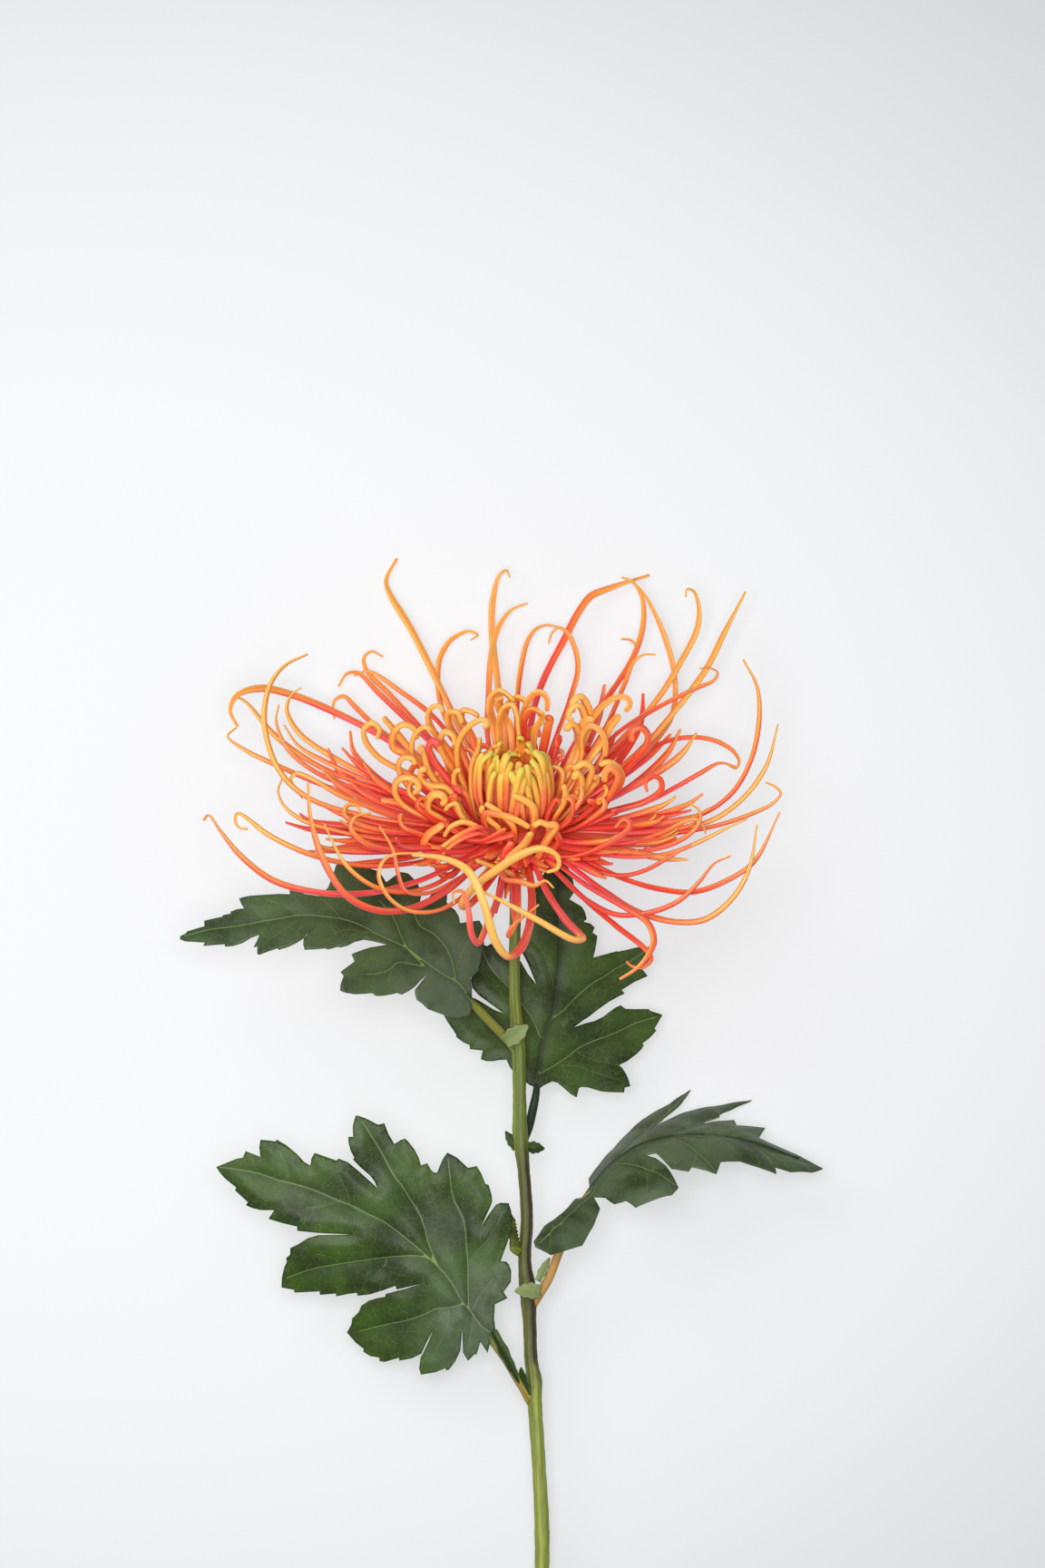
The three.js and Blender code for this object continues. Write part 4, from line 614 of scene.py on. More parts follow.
print("a tip closes in", len(DOME_ANGLES), "rings")

# %% [markdown]
# ## One floret
# All florets follow one recipe and differ in their line, width and colours. A copied object bent
# by a modifier would be lighter, but each real floret has a bend and a twist of its own, so each
# is built along its own line. It swells a little, tapers, and its seam deepens near the tip.

# %% Floret
FLORET_FLATNESS = 0.84
HOOK_WEIGHT = 5.0
# Past a bend a floret shows its amber side. Both are places along it where amber would begin.
RED_SIDE, AMBER_SIDE = 1.12, 0.32


def add_floret(
    skin, points, width, amber, tint, steps=46, sides=12, tip=0.4, groove=0.22, club=0.0, bend=None,
):
    """One floret from its root to its tip. tip is its width there, as a share, and club is how
    much it thickens on the way. Past a bend it shows its amber side."""
    line, down = spaced(smooth_curve(points), steps, hook_weight=HOOK_WEIGHT)
    line, down, cap = domed(line, down, width / 2 * tip)
    share = down / down[-1]
    swelling = 0.8 - club * 0.1 + (0.34 + club * 0.25) * smooth(0, 0.75, share)
    swelling += 0.03 * np.sin(down * 0.35 + tint * 30)
    taper = 1 - (1 - tip) * smooth(0.8, 1.0, share)
    radius = width / 2 * swelling * taper * cap
    depth = groove + 0.3 * smooth(0.75, 0.95, share) * (share < 0.995)
    points, faces, turns = tube(line, radius, sides, AXIS, depth, FLORET_FLATNESS)
    if bend is not None:
        turned_over = smooth(bend - 0.05, bend + 0.05, share)
        amber = per_ring(RED_SIDE + (AMBER_SIDE - RED_SIDE) * turned_over, sides)
    skin.add(
        points, faces,
        along=per_ring(share, sides), down=per_ring(down, sides),
        across=np.cos(turns), over=np.sin(turns), amber=amber, tint=tint,
    )


print("a floret is", FLORET_FLATNESS, "as deep as it is wide")

# %% [markdown]
# ## Long florets that show
# The longest florets hang and sweep out round the bloom, and each has a line of its own that the
# eye follows. Chance can't draw these, so their points are given one by one: width, the share of
# the length where amber begins, and X Y Z of points from near the root to the tip. They are
# written as text, with a comma after each point, which keeps long lists short. With a share well
# above 1 a floret stays red to its tip.

# %% Long florets
def spots(text):
    """Points from text: spaces between the numbers of a point, commas between the points."""
    return np.array([point.split() for point in text.split(",")], float)


LONG_FLORETS = [
    # at the back
    (2, 0.5, "-20 38 -31, -29 56 -40, -35 66 -45, -36 70 -48, -33 76 -50"),
    (1.5, 0.75, "-20 33 -27, -21.5 41 -33, -21 48 -37, -18 53 -39, -13 55.5 -40, -10.5 54.5 -39, "
                "-12.5 53 -37"),
    (1.9, 0.55, "-4.5 38 -30, -5.5 46 -35, -6.5 55 -40, -6.3 64 -43, -4.5 71 -44, -2.5 72.5 -43, "
                "-1.5 70.5 -41"),
    (1.7, 0.65, "-7.5 25 -20, -7.5 36 -29, -6.5 50 -37, -4.5 57 -40, -1 61.5 -41, 3.5 63.3 -40"),
    (1.5, 0.75, "0.5 35 -26, 1.5 45 -33, 3.5 53 -38, 6 56.3 -40, 9 57.2 -41, 12.5 56.5 -41"),
    (1.5, 0.8, "9 20 -14, 15 36 -26, 17.4 45 -31, 16.5 51 -34, 14.5 55 -36, 12 56.5 -37, 10.2 55 -37, "
               "9.3 52 -36"),
    (2.1, 0.9, "6 37 -28, 14 54 -38, 18 61.5 -42, 21 65.3 -44, 26 67.5 -46, 37.5 71.3 -49"),
    (1.7, 0.8, "22 32 -20, 29 42 -27, 33.5 50 -32, 35.6 58 -36, 35.2 65 -39, 32.5 69.4 -41, "
               "29.5 70.5 -41"),
    (1.6, 0.65, "20 10 -8, 36 22 -20, 43.5 32 -31, 44.4 42 -35, 41.5 54 -37, 36 65.5 -36, 32 69.8 -34"),
    (1.8, 0.6, "28 24 -16, 39 36 -24, 46 47 -30, 50.5 56 -32, 51 62 -32, 49.5 66.6 -31, 47.6 67 -30, "
               "47.4 64.8 -29"),
    (1.9, 0.6, "33 21 -13, 44 33 -20, 53 45 -24, 58 55 -27, 64 66.5 -29"),
    (1.5, 0.8, "27 26 -13, 40 34.5 -20, 50 39.5 -22, 55 41.7 -23, 56 43.8 -22, 54 45 -21, 51 45 -20"),
    (1.6, 0.95, "20 30 -22, 27 39 -28, 32 47 -32, 33.5 51.5 -33, 32 53 -33, 29.3 53.3 -32"),
    (1.4, 0.85, "24 27 -17, 30 40 -26, 33 47 -29, 35.5 48.8 -29, 39 48.9 -28"),
    # to the right
    (1.5, 0.9, "14 8 -9, 27 16.5 -17, 37 22.7 -22, 43.5 25.3 -24, 50 26 -24, 56 24.8 -22, "
               "60.5 22 -20, 62 19 -18, 61 17.3 -17, 58.5 18.5 -16"),
    (1.6, 1.05, "20 3 -2, 36 8 -3, 44 12 -5, 51 16 -6, 56.5 18.8 -7, 61 17.8 -7"),
    (2.2, 0.9, "16 3 -1, 28 6 -2, 36 8.3 -2, 40.2 11.5 -1, 39.8 14.3 0, 37.3 15 1, 35.9 13 2, "
               "36.4 10.8 2"),
    (1.7, 0.6, "22 1 0, 40 2 1, 52 5 3, 60 11 4, 65 20 3, 67.2 31 0, 66.6 40 -2, 62.8 47.5 -3"),
    (1.7, 0.7, "20 -1 2, 40 0 4, 54 3 6, 63 9.5 8, 69 18 9, 72.3 29.5 7"),
    (1.5, 0.8, "20 -2 4, 40 -1 8, 54 1.3 12, 64 4.5 15, 71 8 17, 72.8 10.5 17, 71.5 12.2 16, "
               "68.7 13.5 14"),
    (1.7, 0.95, "20 -4 8, 32 -3 12, 41 0 15, 47 3 17, 50 3.3 18, 51.6 1.6 18, 52.3 -0.8 17"),
    (1.7, 0.9, "20 -5 10, 34 -5.5 16, 44 -3 19, 49.3 0.7 20, 50.8 3.8 20, 50 6.3 19, 47.5 7.7 18"),
    (1.5, 0.9, "20 -6 13, 32 -7 19, 42 -6 23, 50 -3 25, 57 0.5 26, 63.5 3.4 26"),
    (1.6, 1, "14 -7 14, 22 -10.5 24, 29 -12 31, 35 -10.7 35, 41 -7.6 37, 48 -3.5 38"),
    # to the front right
    (1.9, 0.73, "16 -6.8 16, 30 -13 30, 40 -15.7 38, 49 -16.3 44, 58 -13 48, 65 -8 50, 72 5.5 52"),
    (2, 0.83, "12 -7.5 15, 24 -16 32, 34 -22 44, 44 -24.5 50, 52 -23.6 54, 59 -18 56, 63.5 -10 57, "
              "65.7 2 56"),
    (1.8, 0.92, "10 -10 20, 20 -19 38, 28 -22.6 46, 37 -21.8 50, 44.5 -18.7 53, 50 -13.5 54, "
                "54 -8.6 54, 58.7 -6.5 53"),
    (1.7, 1.07, "10 -10 18, 20 -19.3 35, 28 -26 48, 35.5 -32 57, 37 -34.5 58, 35 -36.7 58, "
                "32 -36.6 57, 30.2 -35.2 55"),
    (1.8, 1, "10 -8 16, 20 -15 32, 31 -21.3 47, 36.3 -25 54, 37.7 -29.5 57, 36.2 -33.3 60, 33 -37 61, "
             "28.3 -40 62"),
    (2.2, 0.9, "8 -6 12, 16 -6.8 21, 24 -4 27, 30 -0.2 30, 31.5 2 31, 29.8 3.4 31, 27.3 1 30"),
    # to the front
    (2.4, 0.78, "3 -8 16, 4.5 -17 35, 4 -25 50, 1.2 -32 61, -2 -33.7 66, -5.3 -29.5 70, -8.5 -19 72, "
                "-12.5 -10.7 71, -19 -7.2 68, -28 -6.2 63"),
    (2.1, 0.76, "5 -9 18, 9 -17 34, 14 -24.3 49, 18.2 -29 60, 15.5 -29 63, 6 -23.7 65, -4 -18.4 65, "
                "-11 -15 63"),
    (2.1, 0.52, "-3 -8 14, -8 -15 28, -13 -20.3 40, -14.5 -20 45, -11.5 -15.3 50, -6 -11 54, "
                "1 -6.5 57, 7 -4.5 58, 11.5 -6.6 57, 11.6 -9.8 56, 8.5 -11 55"),
    (1.8, 0.85, "-2 -8 15, -4.5 -17 34, -7.5 -25 50, -10.3 -30.3 60, -12 -27 64, -12.6 -21.5 65, "
                "-14.3 -16.2 64, -16.8 -16.6 62, -16.5 -19.5 60"),
    (1.4, 0.8, "0 -8 16, 1 -17 36, 0.3 -24.5 52, -1.8 -28.3 60, -1 -26 63, 6.5 -19.7 60"),
    (2, 0.9, "-2 -6 14, -4 -10 26, -2.5 -13 34, 1.5 -13.6 40, 5.5 -14.6 43, 8.3 -13.3 44, "
             "10.6 -15.4 44"),
    # to the front left
    (1.5, 0.75, "-8 -11 22, -16 -19 38, -23 -21.8 47, -30 -21 53, -35.3 -16.5 57, -37 -11 58, "
                "-34.6 -6.8 57, -25 -5.7 55"),
    (2.5, 0.85, "-10 -9 18, -20 -17 34, -29 -21 44, -38 -21.2 51, -46 -17 55, -52 -7.5 57, "
                "-55.5 4 57, -56.2 13.5 56"),
    (1.7, 0.8, "-12 -8 15, -22 -14.5 28, -31 -16.5 37, -39 -14.6 43, -46 -9 46, -52 2 46"),
    (1.4, 0.8, "-14 -12 22, -24 -16.8 34, -30 -16 40, -32 -11 42, -33.3 -5 42, -37 1.5 40"),
    (2.2, 0.75, "-14 -8 14, -27 -13.7 26, -40 -16.7 35, -53 -16.6 40, -66 -13.2 43, -75 -6.2 45, "
                "-80.5 0.6 45, -83.6 4.6 44, -85 3 43"),
    (1.8, 0.8, "-14 -5 10, -27 -8.5 19, -42 -9.3 26, -56 -6.2 30, -67 -1.1 31, -75.8 5 30, "
               "-76.6 3 31, -75.3 1 32, -73 0.7 32"),
    (2.1, 0.8, "-15 -5 12, -26 -6 20, -35 -5 25, -42 -2.5 29, -44.9 1.2 30, -43.8 3.9 30, -39.3 5 28"),
    (2, 0.8, "-18 -1 4, -32 -0.3 10, -42 1.6 15, -46.8 4.6 17, -46 7.1 16, -43.3 6.9 15, -42.3 4.8 15"),
    # to the left
    (1.5, 0.9, "-18 -3 8, -34 -2.5 16, -48 0 20, -58 3 22, -63.3 7 22, -65 11 21, -64 14.3 19"),
    (1.6, 0.8, "-20 1.5 0, -36 5.4 2, -48 9.8 4, -56 14.5 5, -60.3 16 5, -61.8 14.3 5, -58.5 9 7"),
    (1.7, 0.7, "-20 3 -3, -36 7 -5, -52 12.3 -6, -66 18.3 -5, -74.5 22.4 -4, -79.3 26.2 -3, "
               "-76.8 28.7 -4"),
    (1.8, 0.8, "-20 5 -5, -38 11.5 -10, -54 17.8 -14, -66 26 -16, -75 36 -16, -77.3 36.8 -16, "
               "-78.6 34.3 -15"),
    (1.9, 0.55, "-20 1 2, -40 4 6, -57 9.3 9, -65 17 9, -69 30 8, -67.5 40 7, -63.5 45.5 6, -57 48.8 5"),
    (2.3, 0.7, "-14 11 -14, -28 21 -24, -46 31 -28, -62 37.8 -24, -71 39.5 -19, -77.3 37.2 -14, "
               "-78.8 33 -12, -76.6 28.8 -11"),
    (1.8, 0.7, "-20 7 -6, -34 12.4 -12, -50 20.2 -17, -60 27.3 -18, -63.2 33.5 -17, -62 37.5 -16, "
               "-59.2 39.6 -14"),
    (1.6, 0.85, "-20 4 -3, -38 9.6 -5, -55 16.3 -6, -63 23 -6, -66 30.5 -6, -65.2 35 -7"),
    (1.5, 0.95, "-20 6 -5, -38 12.8 -9, -52 19 -12, -60 23.6 -13, -64 29.4 -13"),
    # to the back left
    (1.6, 0.8, "-14 12 -14, -27 21 -23, -38 28.3 -29, -44.3 34.3 -31, -47.7 37.4 -31, -50.3 36 -30, "
               "-50.2 31 -28"),
    (1.7, 0.9, "-12 14 -16, -24 25 -26, -38 38.4 -35, -43.7 43.9 -37, -46.8 43.7 -36, -49.2 40 -35"),
    (1.6, 0.8, "-12 13 -17, -22 24 -27, -35 38 -38, -41.6 45 -42, -42.1 48.2 -43, -40 49.9 -42, "
               "-36.8 48.4 -40"),
    (1.5, 0.85, "-12 17 -20, -22 31 -31, -32 38.8 -37, -41 44.4 -41, -45 43 -40"),
    # short ones that hang in front of the stem
    (2, 1.35, "-3 -9 15.6, -3.8 -14 18.5, -4.6 -18.5 20.6, -5.3 -22.5 21.8"),
    (1.8, 1.15, "-1 -9 14.4, -1.8 -13.5 16.5, -2.8 -18.5 18.3"),
    (1.8, 1.2, "-0.8 -10 15, -0.5 -16 18, -0.3 -22 21, 0 -27 23.5"),
    (2.2, 1.15, "7.5 -6 17.3, 7 -10 16.2, 6.3 -13.5 15.4"),
]
print(len(LONG_FLORETS), "long florets are drawn")

# %% [markdown]
# ## Fans of florets
# Between and behind those stand many more that only fill the ring. They are alike enough for a
# rule: sectors of the ring, each with its count, its length and how far its tips come up. One
# rule for the whole ring would be shorter still, but the florets below are the shortest.

# %% Fans
FANS = [
    # from and to in degrees round the axis, count, length, and how far the tips come up
    (-26, 6, 8, 52, 5),
    (28, 62, 4, 60, 12),
    (150, 172, 4, 54, 10),
    (176, 214, 8, 58, 6),
    (216, 236, 4, 36, 4),
    (236, 304, 9, 26, 0.5),
    (302, 332, 4, 40, 3),
    (244, 298, 7, 30, 3),
]


def fan_floret(turn, i, reach, climb):
    """The centreline of floret i of a fan, leaving the receptacle at a turn round the axis."""
    length = reach * between(0.72, 1.05, i, 1)
    lift = reach * between(0.02, 0.1, i, 2)
    rise = climb * between(0.5, 1.3, i, 3)
    sway = between(-0.12, 0.12, i, 4)
    return [
        in_bloom(turn, length * 0.28, lift * 0.2),
        in_bloom(turn + sway * 0.4, length * 0.64, lift * 0.7),
        in_bloom(turn + sway, length * 0.94, lift + rise * 0.5),
        in_bloom(turn + sway * 1.2, length * between(0.98, 1.06, i, 5), lift + rise),
    ]


def add_fans(skin, first):
    """A floret at each place in the fans. first sets them apart from those of another round."""
    i = first
    for start, end, count, reach, climb in FANS:
        for k in range(count):
            turn = math.radians(start + (end - start) * (k + 0.5) / count + between(-3, 3, i, 6))
            path = fan_floret(turn, i, reach, climb)
            amber = between(0.8, 1.35, i, 42)
            width = between(1.8, 2.2, i, 7)
            add_floret(skin, [root_towards(path[0]), *path], width, amber, chance(i, 43), 36, 10)
            i += 1


print(sum(fan[2] for fan in FANS), "florets in a round of fans")

# %% [markdown]
# ## The long florets' piece
# Two rounds of fans, each with its own draws, close the gaps. Three florets in front bend right
# over, and the key of each is its place in the list, the value the share of its length where
# it bends. The others are made a little slimmer.

# %% Long florets' piece
BENT = {30: 0.6, 31: 0.63, 32: 0.44}
SLIMMER = 0.9


def long_florets():
    skin = Skin()
    for n, (width, amber, path) in enumerate(LONG_FLORETS):
        path = spots(path)
        path = [root_towards(path[0]), *path]
        slim = 1 if n in BENT else SLIMMER
        add_floret(skin, path, width * slim, amber, chance(n, 41), steps=56, bend=BENT.get(n))
    add_fans(skin, 0)
    add_fans(skin, 50)
    return skin


make_piece("bloom_long_florets", long_florets(), floret_material, ["bloom"])

# %% [markdown]
# ## Drawn hooks
# Shorter florets stand round the eye, lean out and curl over at the top, like small hooks. Those
# that show most were drawn in front view, where a hook's shape is easy to judge: width,
# where amber begins, how far behind the bloom's axis the first and the last point are, and X Y
# of the points.

# %% Drawn hooks
DRAWN_HOOKS = [
    # behind the eye
    (1.9, 0.5, 23, 20, "-6 29, -7 34, -6.2 37.4, -4.3 38.6, -2 37.3, -0.4 35.4"),
    (1.6, 0.5, 24, 22, "-1.5 29, -4.2 33, -4.9 35.6, -3.4 36.8"),
    (1.6, 0.3, 16, 11, "-4.5 27, -4.3 31, -2.8 34, -0.9 34.6, 0.3 32, 0.6 28.5, 0.9 25.6"),
    (1.7, 0.6, 26, 23, "-3 31, -1.6 35.5, 1 36.8, 3.2 35.3, 4 33"),
    (1.5, 0.4, 24, 22, "1.5 30, 3.2 35, 5 37.8, 7 38.2, 8.7 36.6, 8.8 33"),
    (1.6, 0.95, 19, 14, "2.4 26, 2.6 31, 4.3 33.5, 6.2 33, 7.2 31, 7.3 29.3"),
    (1.6, 0.3, 16, 13, "5 23.5, 5.5 28, 7 30.3, 7.5 32, 6.4 33"),
    (2.2, 0.95, 20, 18, "8 24, 8.9 28.5, 9.5 31, 8.4 31.4"),
    # behind it to the right
    (2.3, 0.45, 22, 18, "20.2 29, 20 34, 17.9 37, 16.1 35.6, 15.9 32.6"),
    (2, 0.4, 19, 15, "18.8 27, 18.9 32, 17.3 34.6, 15.4 33.5, 14.8 31.5, 16 30.5"),
    (2.2, 0.4, 17, 13, "17.6 23, 16.9 28, 15.3 29.4, 13.7 27.6"),
    (1.9, 0.4, 18, 17, "17.4 22, 17.2 26, 18 29, 20 30.8, 22 30.3"),
    (1.4, 0.3, 12, 8, "18 20, 18.3 26.5, 20.6 29, 23.4 27.6, 24.8 24.5, 24.7 20.5"),
    (1.5, 0.4, 20, 17, "20 29, 25 35.3, 28.5 37, 31 36.5, 31.6 34.8, 30.2 33"),
    (2.2, 0.3, 16, 15, "24 25, 26.6 29.5, 28.8 32"),
    (2.1, 0.9, 9, 6, "28 15, 33 20, 36 23.5, 36.4 26.5, 34.2 28.6, 32.1 27.4, 32.2 24.6"),
    # to the right
    (2, 0.5, 3, 1, "18 10, 20.4 14.5, 20.9 17.3, 18.8 18.6, 15.9 16.7"),
    (1.9, 0.2, -2, -4, "16.4 6.5, 18.2 11.5, 18 14.8, 16.8 15.8, 16 14.1"),
    (1.7, 0.5, -7, -8, "10.8 3.5, 13 7, 13.8 10, 13.2 12.8"),
    (1.5, 0.8, -10, -9, "12 0.6, 14.8 3, 16 6.3, 15.3 8.8, 13.5 9.2"),
    (2.1, 0.6, 0, -2, "23 6, 27 11.5, 28.2 15.5, 26.2 17.4, 24.7 16, 24.6 13.5"),
    (1.9, 0.5, 4, 3, "26 10, 29.3 14, 28.6 17, 25.8 18.9, 23 18.2"),
    (1.5, 1, -8, -8, "8.8 4, 10.1 7, 11.3 8.7, 12.3 7.6"),
    # behind it to the left
    (1.9, 0.4, 8, 4, "-14.5 14, -15.8 19, -15.6 24, -13.7 27.6, -10.8 30, -8.4 30.5, -7.7 29.3, "
                     "-9 28.4"),
    (1.7, 0.33, 4, 1, "-12 17, -11 20.5, -9.9 23, -9.7 25.6"),
    (1.9, 0.68, 18, 15, "-16 25, -18.4 30, -18.2 32.6, -16 32.6, -14.6 29.6"),
    (2, 0.73, 20, 18, "-12 26, -15 31, -14.4 33.1, -12 32.7, -10 31.4"),
    (1.7, 0.63, 15, 12, "-18.5 22.5, -22.8 28, -24 31.6, -22.8 34.1, -20.6 34.2, -20 32.4"),
    (1.9, 0.58, 11, 8, "-16 15.5, -19.6 21, -20.7 24.6, -19.2 27.3, -17.2 26.2, -16.7 23.4"),
    # to the left
    (1.7, 0.4, 6, 4, "-27 14.5, -33 17.6, -37.6 20.4, -41 24.6, -41.5 28, -39.3 29.7, -37.4 28, "
                     "-38.2 25.4"),
    (1.9, 0.58, 12, 12, "-28 21.5, -32.5 27, -36.4 31.5"),
    (2, 0.73, 8, 9, "-24 16, -29 20.5, -33.6 23.2, -33.3 27.2, -30.7 29.2, -27.6 27.7, -27.2 25.4"),
    (1.6, 0.58, 9, 7, "-23.5 15, -27.6 19.5, -28.4 23.6, -27 27.2, -24.6 28.6, -23 27.6"),
    (1.9, 0.38, 2, 0, "-17.5 9, -21.5 13.2, -24 17.5, -25 21.4, -25.6 23, -26.8 21.8"),
    (2.2, 1.08, 6, 3, "-15 10, -19.5 15.5, -22.4 19.5, -23.7 23, -22.4 24.9, -20.6 23.6"),
    (1.7, 0.68, 1, -1, "-25.5 8.5, -29 12, -31.4 15.4, -32 18.4, -30.5 20.3, -28.2 19.9, -27.4 18.2"),
    (1.9, 0.43, -2, -3, "-19 12, -23 12.6, -25.8 14.4, -25.8 16.7, -24.2 17.2"),
    (1.9, 0.6, -3, -5, "-26 4.5, -31.3 7.8, -33 11, -32.2 14, -29.5 14.8, -27 13.6, -26.5 11.8, "
                       "-28.2 10.2"),
    (2.1, 1.08, 0, 0, "-21 3, -29 6.4, -33 8, -37 8.6"),
    (1.7, 0.58, 3, 2, "-13.5 10, -16.6 13, -16.4 16.2, -15 17.1"),
    (2.1, 0.55, -6, -8, "-17 1.5, -21 4, -23.7 5.7, -23.9 8.2, -22.4 10, -20.3 9.9, -19.3 8.3, "
                        "-20.5 7.2"),
    (1.5, 0.35, -9, -10, "-8.5 0.5, -12.5 1.8, -15.2 5, -16.4 7.6, -18.3 7, -19.3 5.6"),
    # in front of it to the left
    (1.5, 0.25, -11.5, -11.5, "-4.5 0.8, -7.2 3.2, -9.2 5.9, -8.6 7"),
    (1.5, 0.4, -12.5, -12, "-0.5 1, -3 4, -5.5 6, -8.3 7.7"),
    (1.6, 0.5, -13.5, -14, "-8.5 4.8, -3.5 4.4, 0.5 3, 4 1"),
    (1.6, 0.78, -14, -15, "-14 -2.2, -9.5 -2.5, -6.5 -1.5, -4 0, -2.6 0.8"),
    (2.4, 1.18, -12, -14, "-18.5 1.8, -14 -1, -9.5 -2.3, -4.5 -1.6, 0 -0.6"),
    (2.3, 0.73, -15, -17, "-12 -6.5, -18 -6.2, -22 -5.6, -25 -3.8, -23.8 -1, -21 1, -19.5 1.9"),
    (1.7, 0.68, -15, -17, "-10 1.2, -16 -1.4, -19 -3.3, -21 -4.7"),
    (1.6, 0.5, -14, -16, "-9 0.5, -14.5 2.6, -18.2 0.9, -19.6 -1.5"),
    (1.5, 0.93, -16, -18, "-10 -0.5, -14 -1.8, -17.5 -3.9, -19.9 -6.3"),
    (1.9, 1.03, -18, -21, "-10 -8, -15 -9.6, -17.6 -12, -20.2 -11.8, -21.3 -9.6, -20.8 -7.4"),
    # in front of it
    (1.7, 0.4, -12.5, -12.5, "5 1, 5.5 4.4, 4.6 7, 1.8 8.9, -1 9.9"),
    (2.1, 0.6, -19, -22, "0.5 -9.5, 4.4 -10, 6.3 -7, 8 -3.5, 9.8 -0.6, 11 1.6, 8.8 1.7, 6.7 2.4, "
                         "4.9 1.2"),
    (1.9, 0.9, -17, -18, "8 -5, 10.8 -4.4, 12 -2.4, 11 -0.5, 8.6 0.6"),
    (2.1, 0.2, -20, -24, "-3 -8.5, -0.5 -6, 2 -4, 3.6 -1.8, 4.3 -0.2"),
    (1.9, 1, -19, -21, "-3.6 -9.5, -2.8 -6, -0.8 -3"),
    (1.7, 0.65, -24, -28, "2.5 -12, -2.5 -11, -6.5 -9.4, -10.7 -7.7"),
]
print(len(DRAWN_HOOKS), "hooks are drawn")

# %% [markdown]
# ## Hooks in space
# A hook drawn flat needs a depth. Typing one for each point would be slow and uneven. The depth
# changes evenly from the first point to the last instead, and it is measured from a plane
# through the bloom's axis.

# %% Depth of a drawn hook
def behind(x, y, depth):
    """The point at x and y in front view that lies a depth behind the bloom's axis."""
    return np.array([x, y, y * math.tan(BLOOM_TILT) - depth / math.cos(BLOOM_TILT)])


def drawn_hook(first, last, path):
    """The centreline of a drawn hook, from its root under the eye."""
    depths = np.linspace(first, last, len(path))
    points = [behind(x, y, depth) for (x, y), depth in zip(path, depths)]
    turn = math.atan2(first, path[0][0])
    return [in_bloom(turn, ROOT_RADIUS + 1, -1), in_bloom(turn, 11, 1.5), *points]


print("straight ahead of the axis:", behind(0, 0, -10).round(2))

# %% [markdown]
# ## Small hooks
# Between the drawn ones stand smaller hooks that no one looks at singly. Rings of them would show
# as rows. The golden angle spreads them like the seeds of a sunflower instead. Each leans out, and
# its top goes round part of a circle.

# %% Small hooks
SMALL_COUNT = 64
GOLDEN_ANGLE = math.pi * (3 - math.sqrt(5))
HOOK_STEPS = 5


def small_hook(i, rank, turn):
    """The centreline of a small one: rank is 0 by the eye and 1 among the long florets."""
    radial = in_bloom(turn, 1, 0)
    sideways = np.cross(AXIS, radial)
    lean = math.radians(58 - 34 * rank + between(-8, 8, i, 11))
    shaft = (10 + 12 * rank) * between(0.8, 1.15, i, 12)
    hook, hook_turn = between(1.7, 3.0, i, 13), math.radians(between(120, 260, i, 14))
    sway = between(-1.2, 1.2, i, 15)
    out = radial * math.cos(lean) + AXIS * math.sin(lean)
    inward = AXIS * math.cos(lean) - radial * math.sin(lean) + sideways * sway
    inward /= np.linalg.norm(inward)
    start = in_bloom(turn, 11, 2.5 - 2 * rank)
    points = [in_bloom(turn, ROOT_RADIUS + 1, -1), start, start + out * shaft * 0.5 - inward * shaft * 0.07]
    for k in range(HOOK_STEPS + 1):
        a, r = hook_turn * k / HOOK_STEPS, hook * (1 - 0.28 * k / HOOK_STEPS)
        drift = math.copysign(1.5, sway) * k / HOOK_STEPS
        over = out * (shaft + r * math.sin(a)) + inward * r * (1 - math.cos(a))
        points.append(start + over + sideways * drift)
    return points


print("the first small hook ends at", small_hook(0, 0, 0)[-1].round(1))

# %% [markdown]
# ## The curled florets' piece
# Drawn and small hooks could be two pieces, but they have one material and move as one, so they
# share a skin. In front the small ones are left out, since the bloom is open there to its roots.

# %% Curled florets
def curled_florets():
    skin = Skin()
    for n, (width, amber, first, last, path) in enumerate(DRAWN_HOOKS):
        path = drawn_hook(first, last, spots(path))
        tint = chance(n, 47) * 0.7
        amber += between(-0.06, 0.06, n, 48)
        add_floret(skin, path, width, amber, tint, 50, 12, 0.85, club=0.6)
    for i in range(SMALL_COUNT):
        turn = (i + 0.5) * GOLDEN_ANGLE
        if math.sin(turn) < -0.5:
            continue  # the front is open, down to the roots
        path = small_hook(i, (i / (SMALL_COUNT - 1)) ** 0.8, turn)
        width = between(1.4, 1.9, i, 16)
        add_floret(skin, path, width, between(0.5, 1.2, i, 44), chance(i, 45), 36, 10, 0.8, club=0.4)
    return skin


make_piece("bloom_curled_florets", curled_florets(), floret_material)

# %% [markdown]
# ## Receptacle
# All florets grow from a low disc that hardly shows. A cylinder would do, but its sharp rim could
# stick out between the roots. It is turned like a bowl instead, from radii and heights.

# %% Receptacle
RECEPTACLE = [[0, -4.4], [7, -4.4], [9.5, -2], [9.5, 1.5], [7, 3], [0, 3]]


def turned(profile, sides=40):
    """Points and faces of a solid turned round the bloom's axis, from the axis to the axis."""
    turns = np.linspace(0, 2 * math.pi, sides, endpoint=False)
    rings = profile[1:-1]
    points = [in_bloom(t, r, h) for r, h in rings for t in turns]
    points += [in_bloom(0, *profile[0]), in_bloom(0, *profile[-1])]
    return np.array(points), [face[::-1] for face in ring_faces(len(rings), sides)]


def plain_skin(profile, **values):
    skin = Skin()
    points, faces = turned(profile)
    skin.add(points, faces, **values)
    return skin


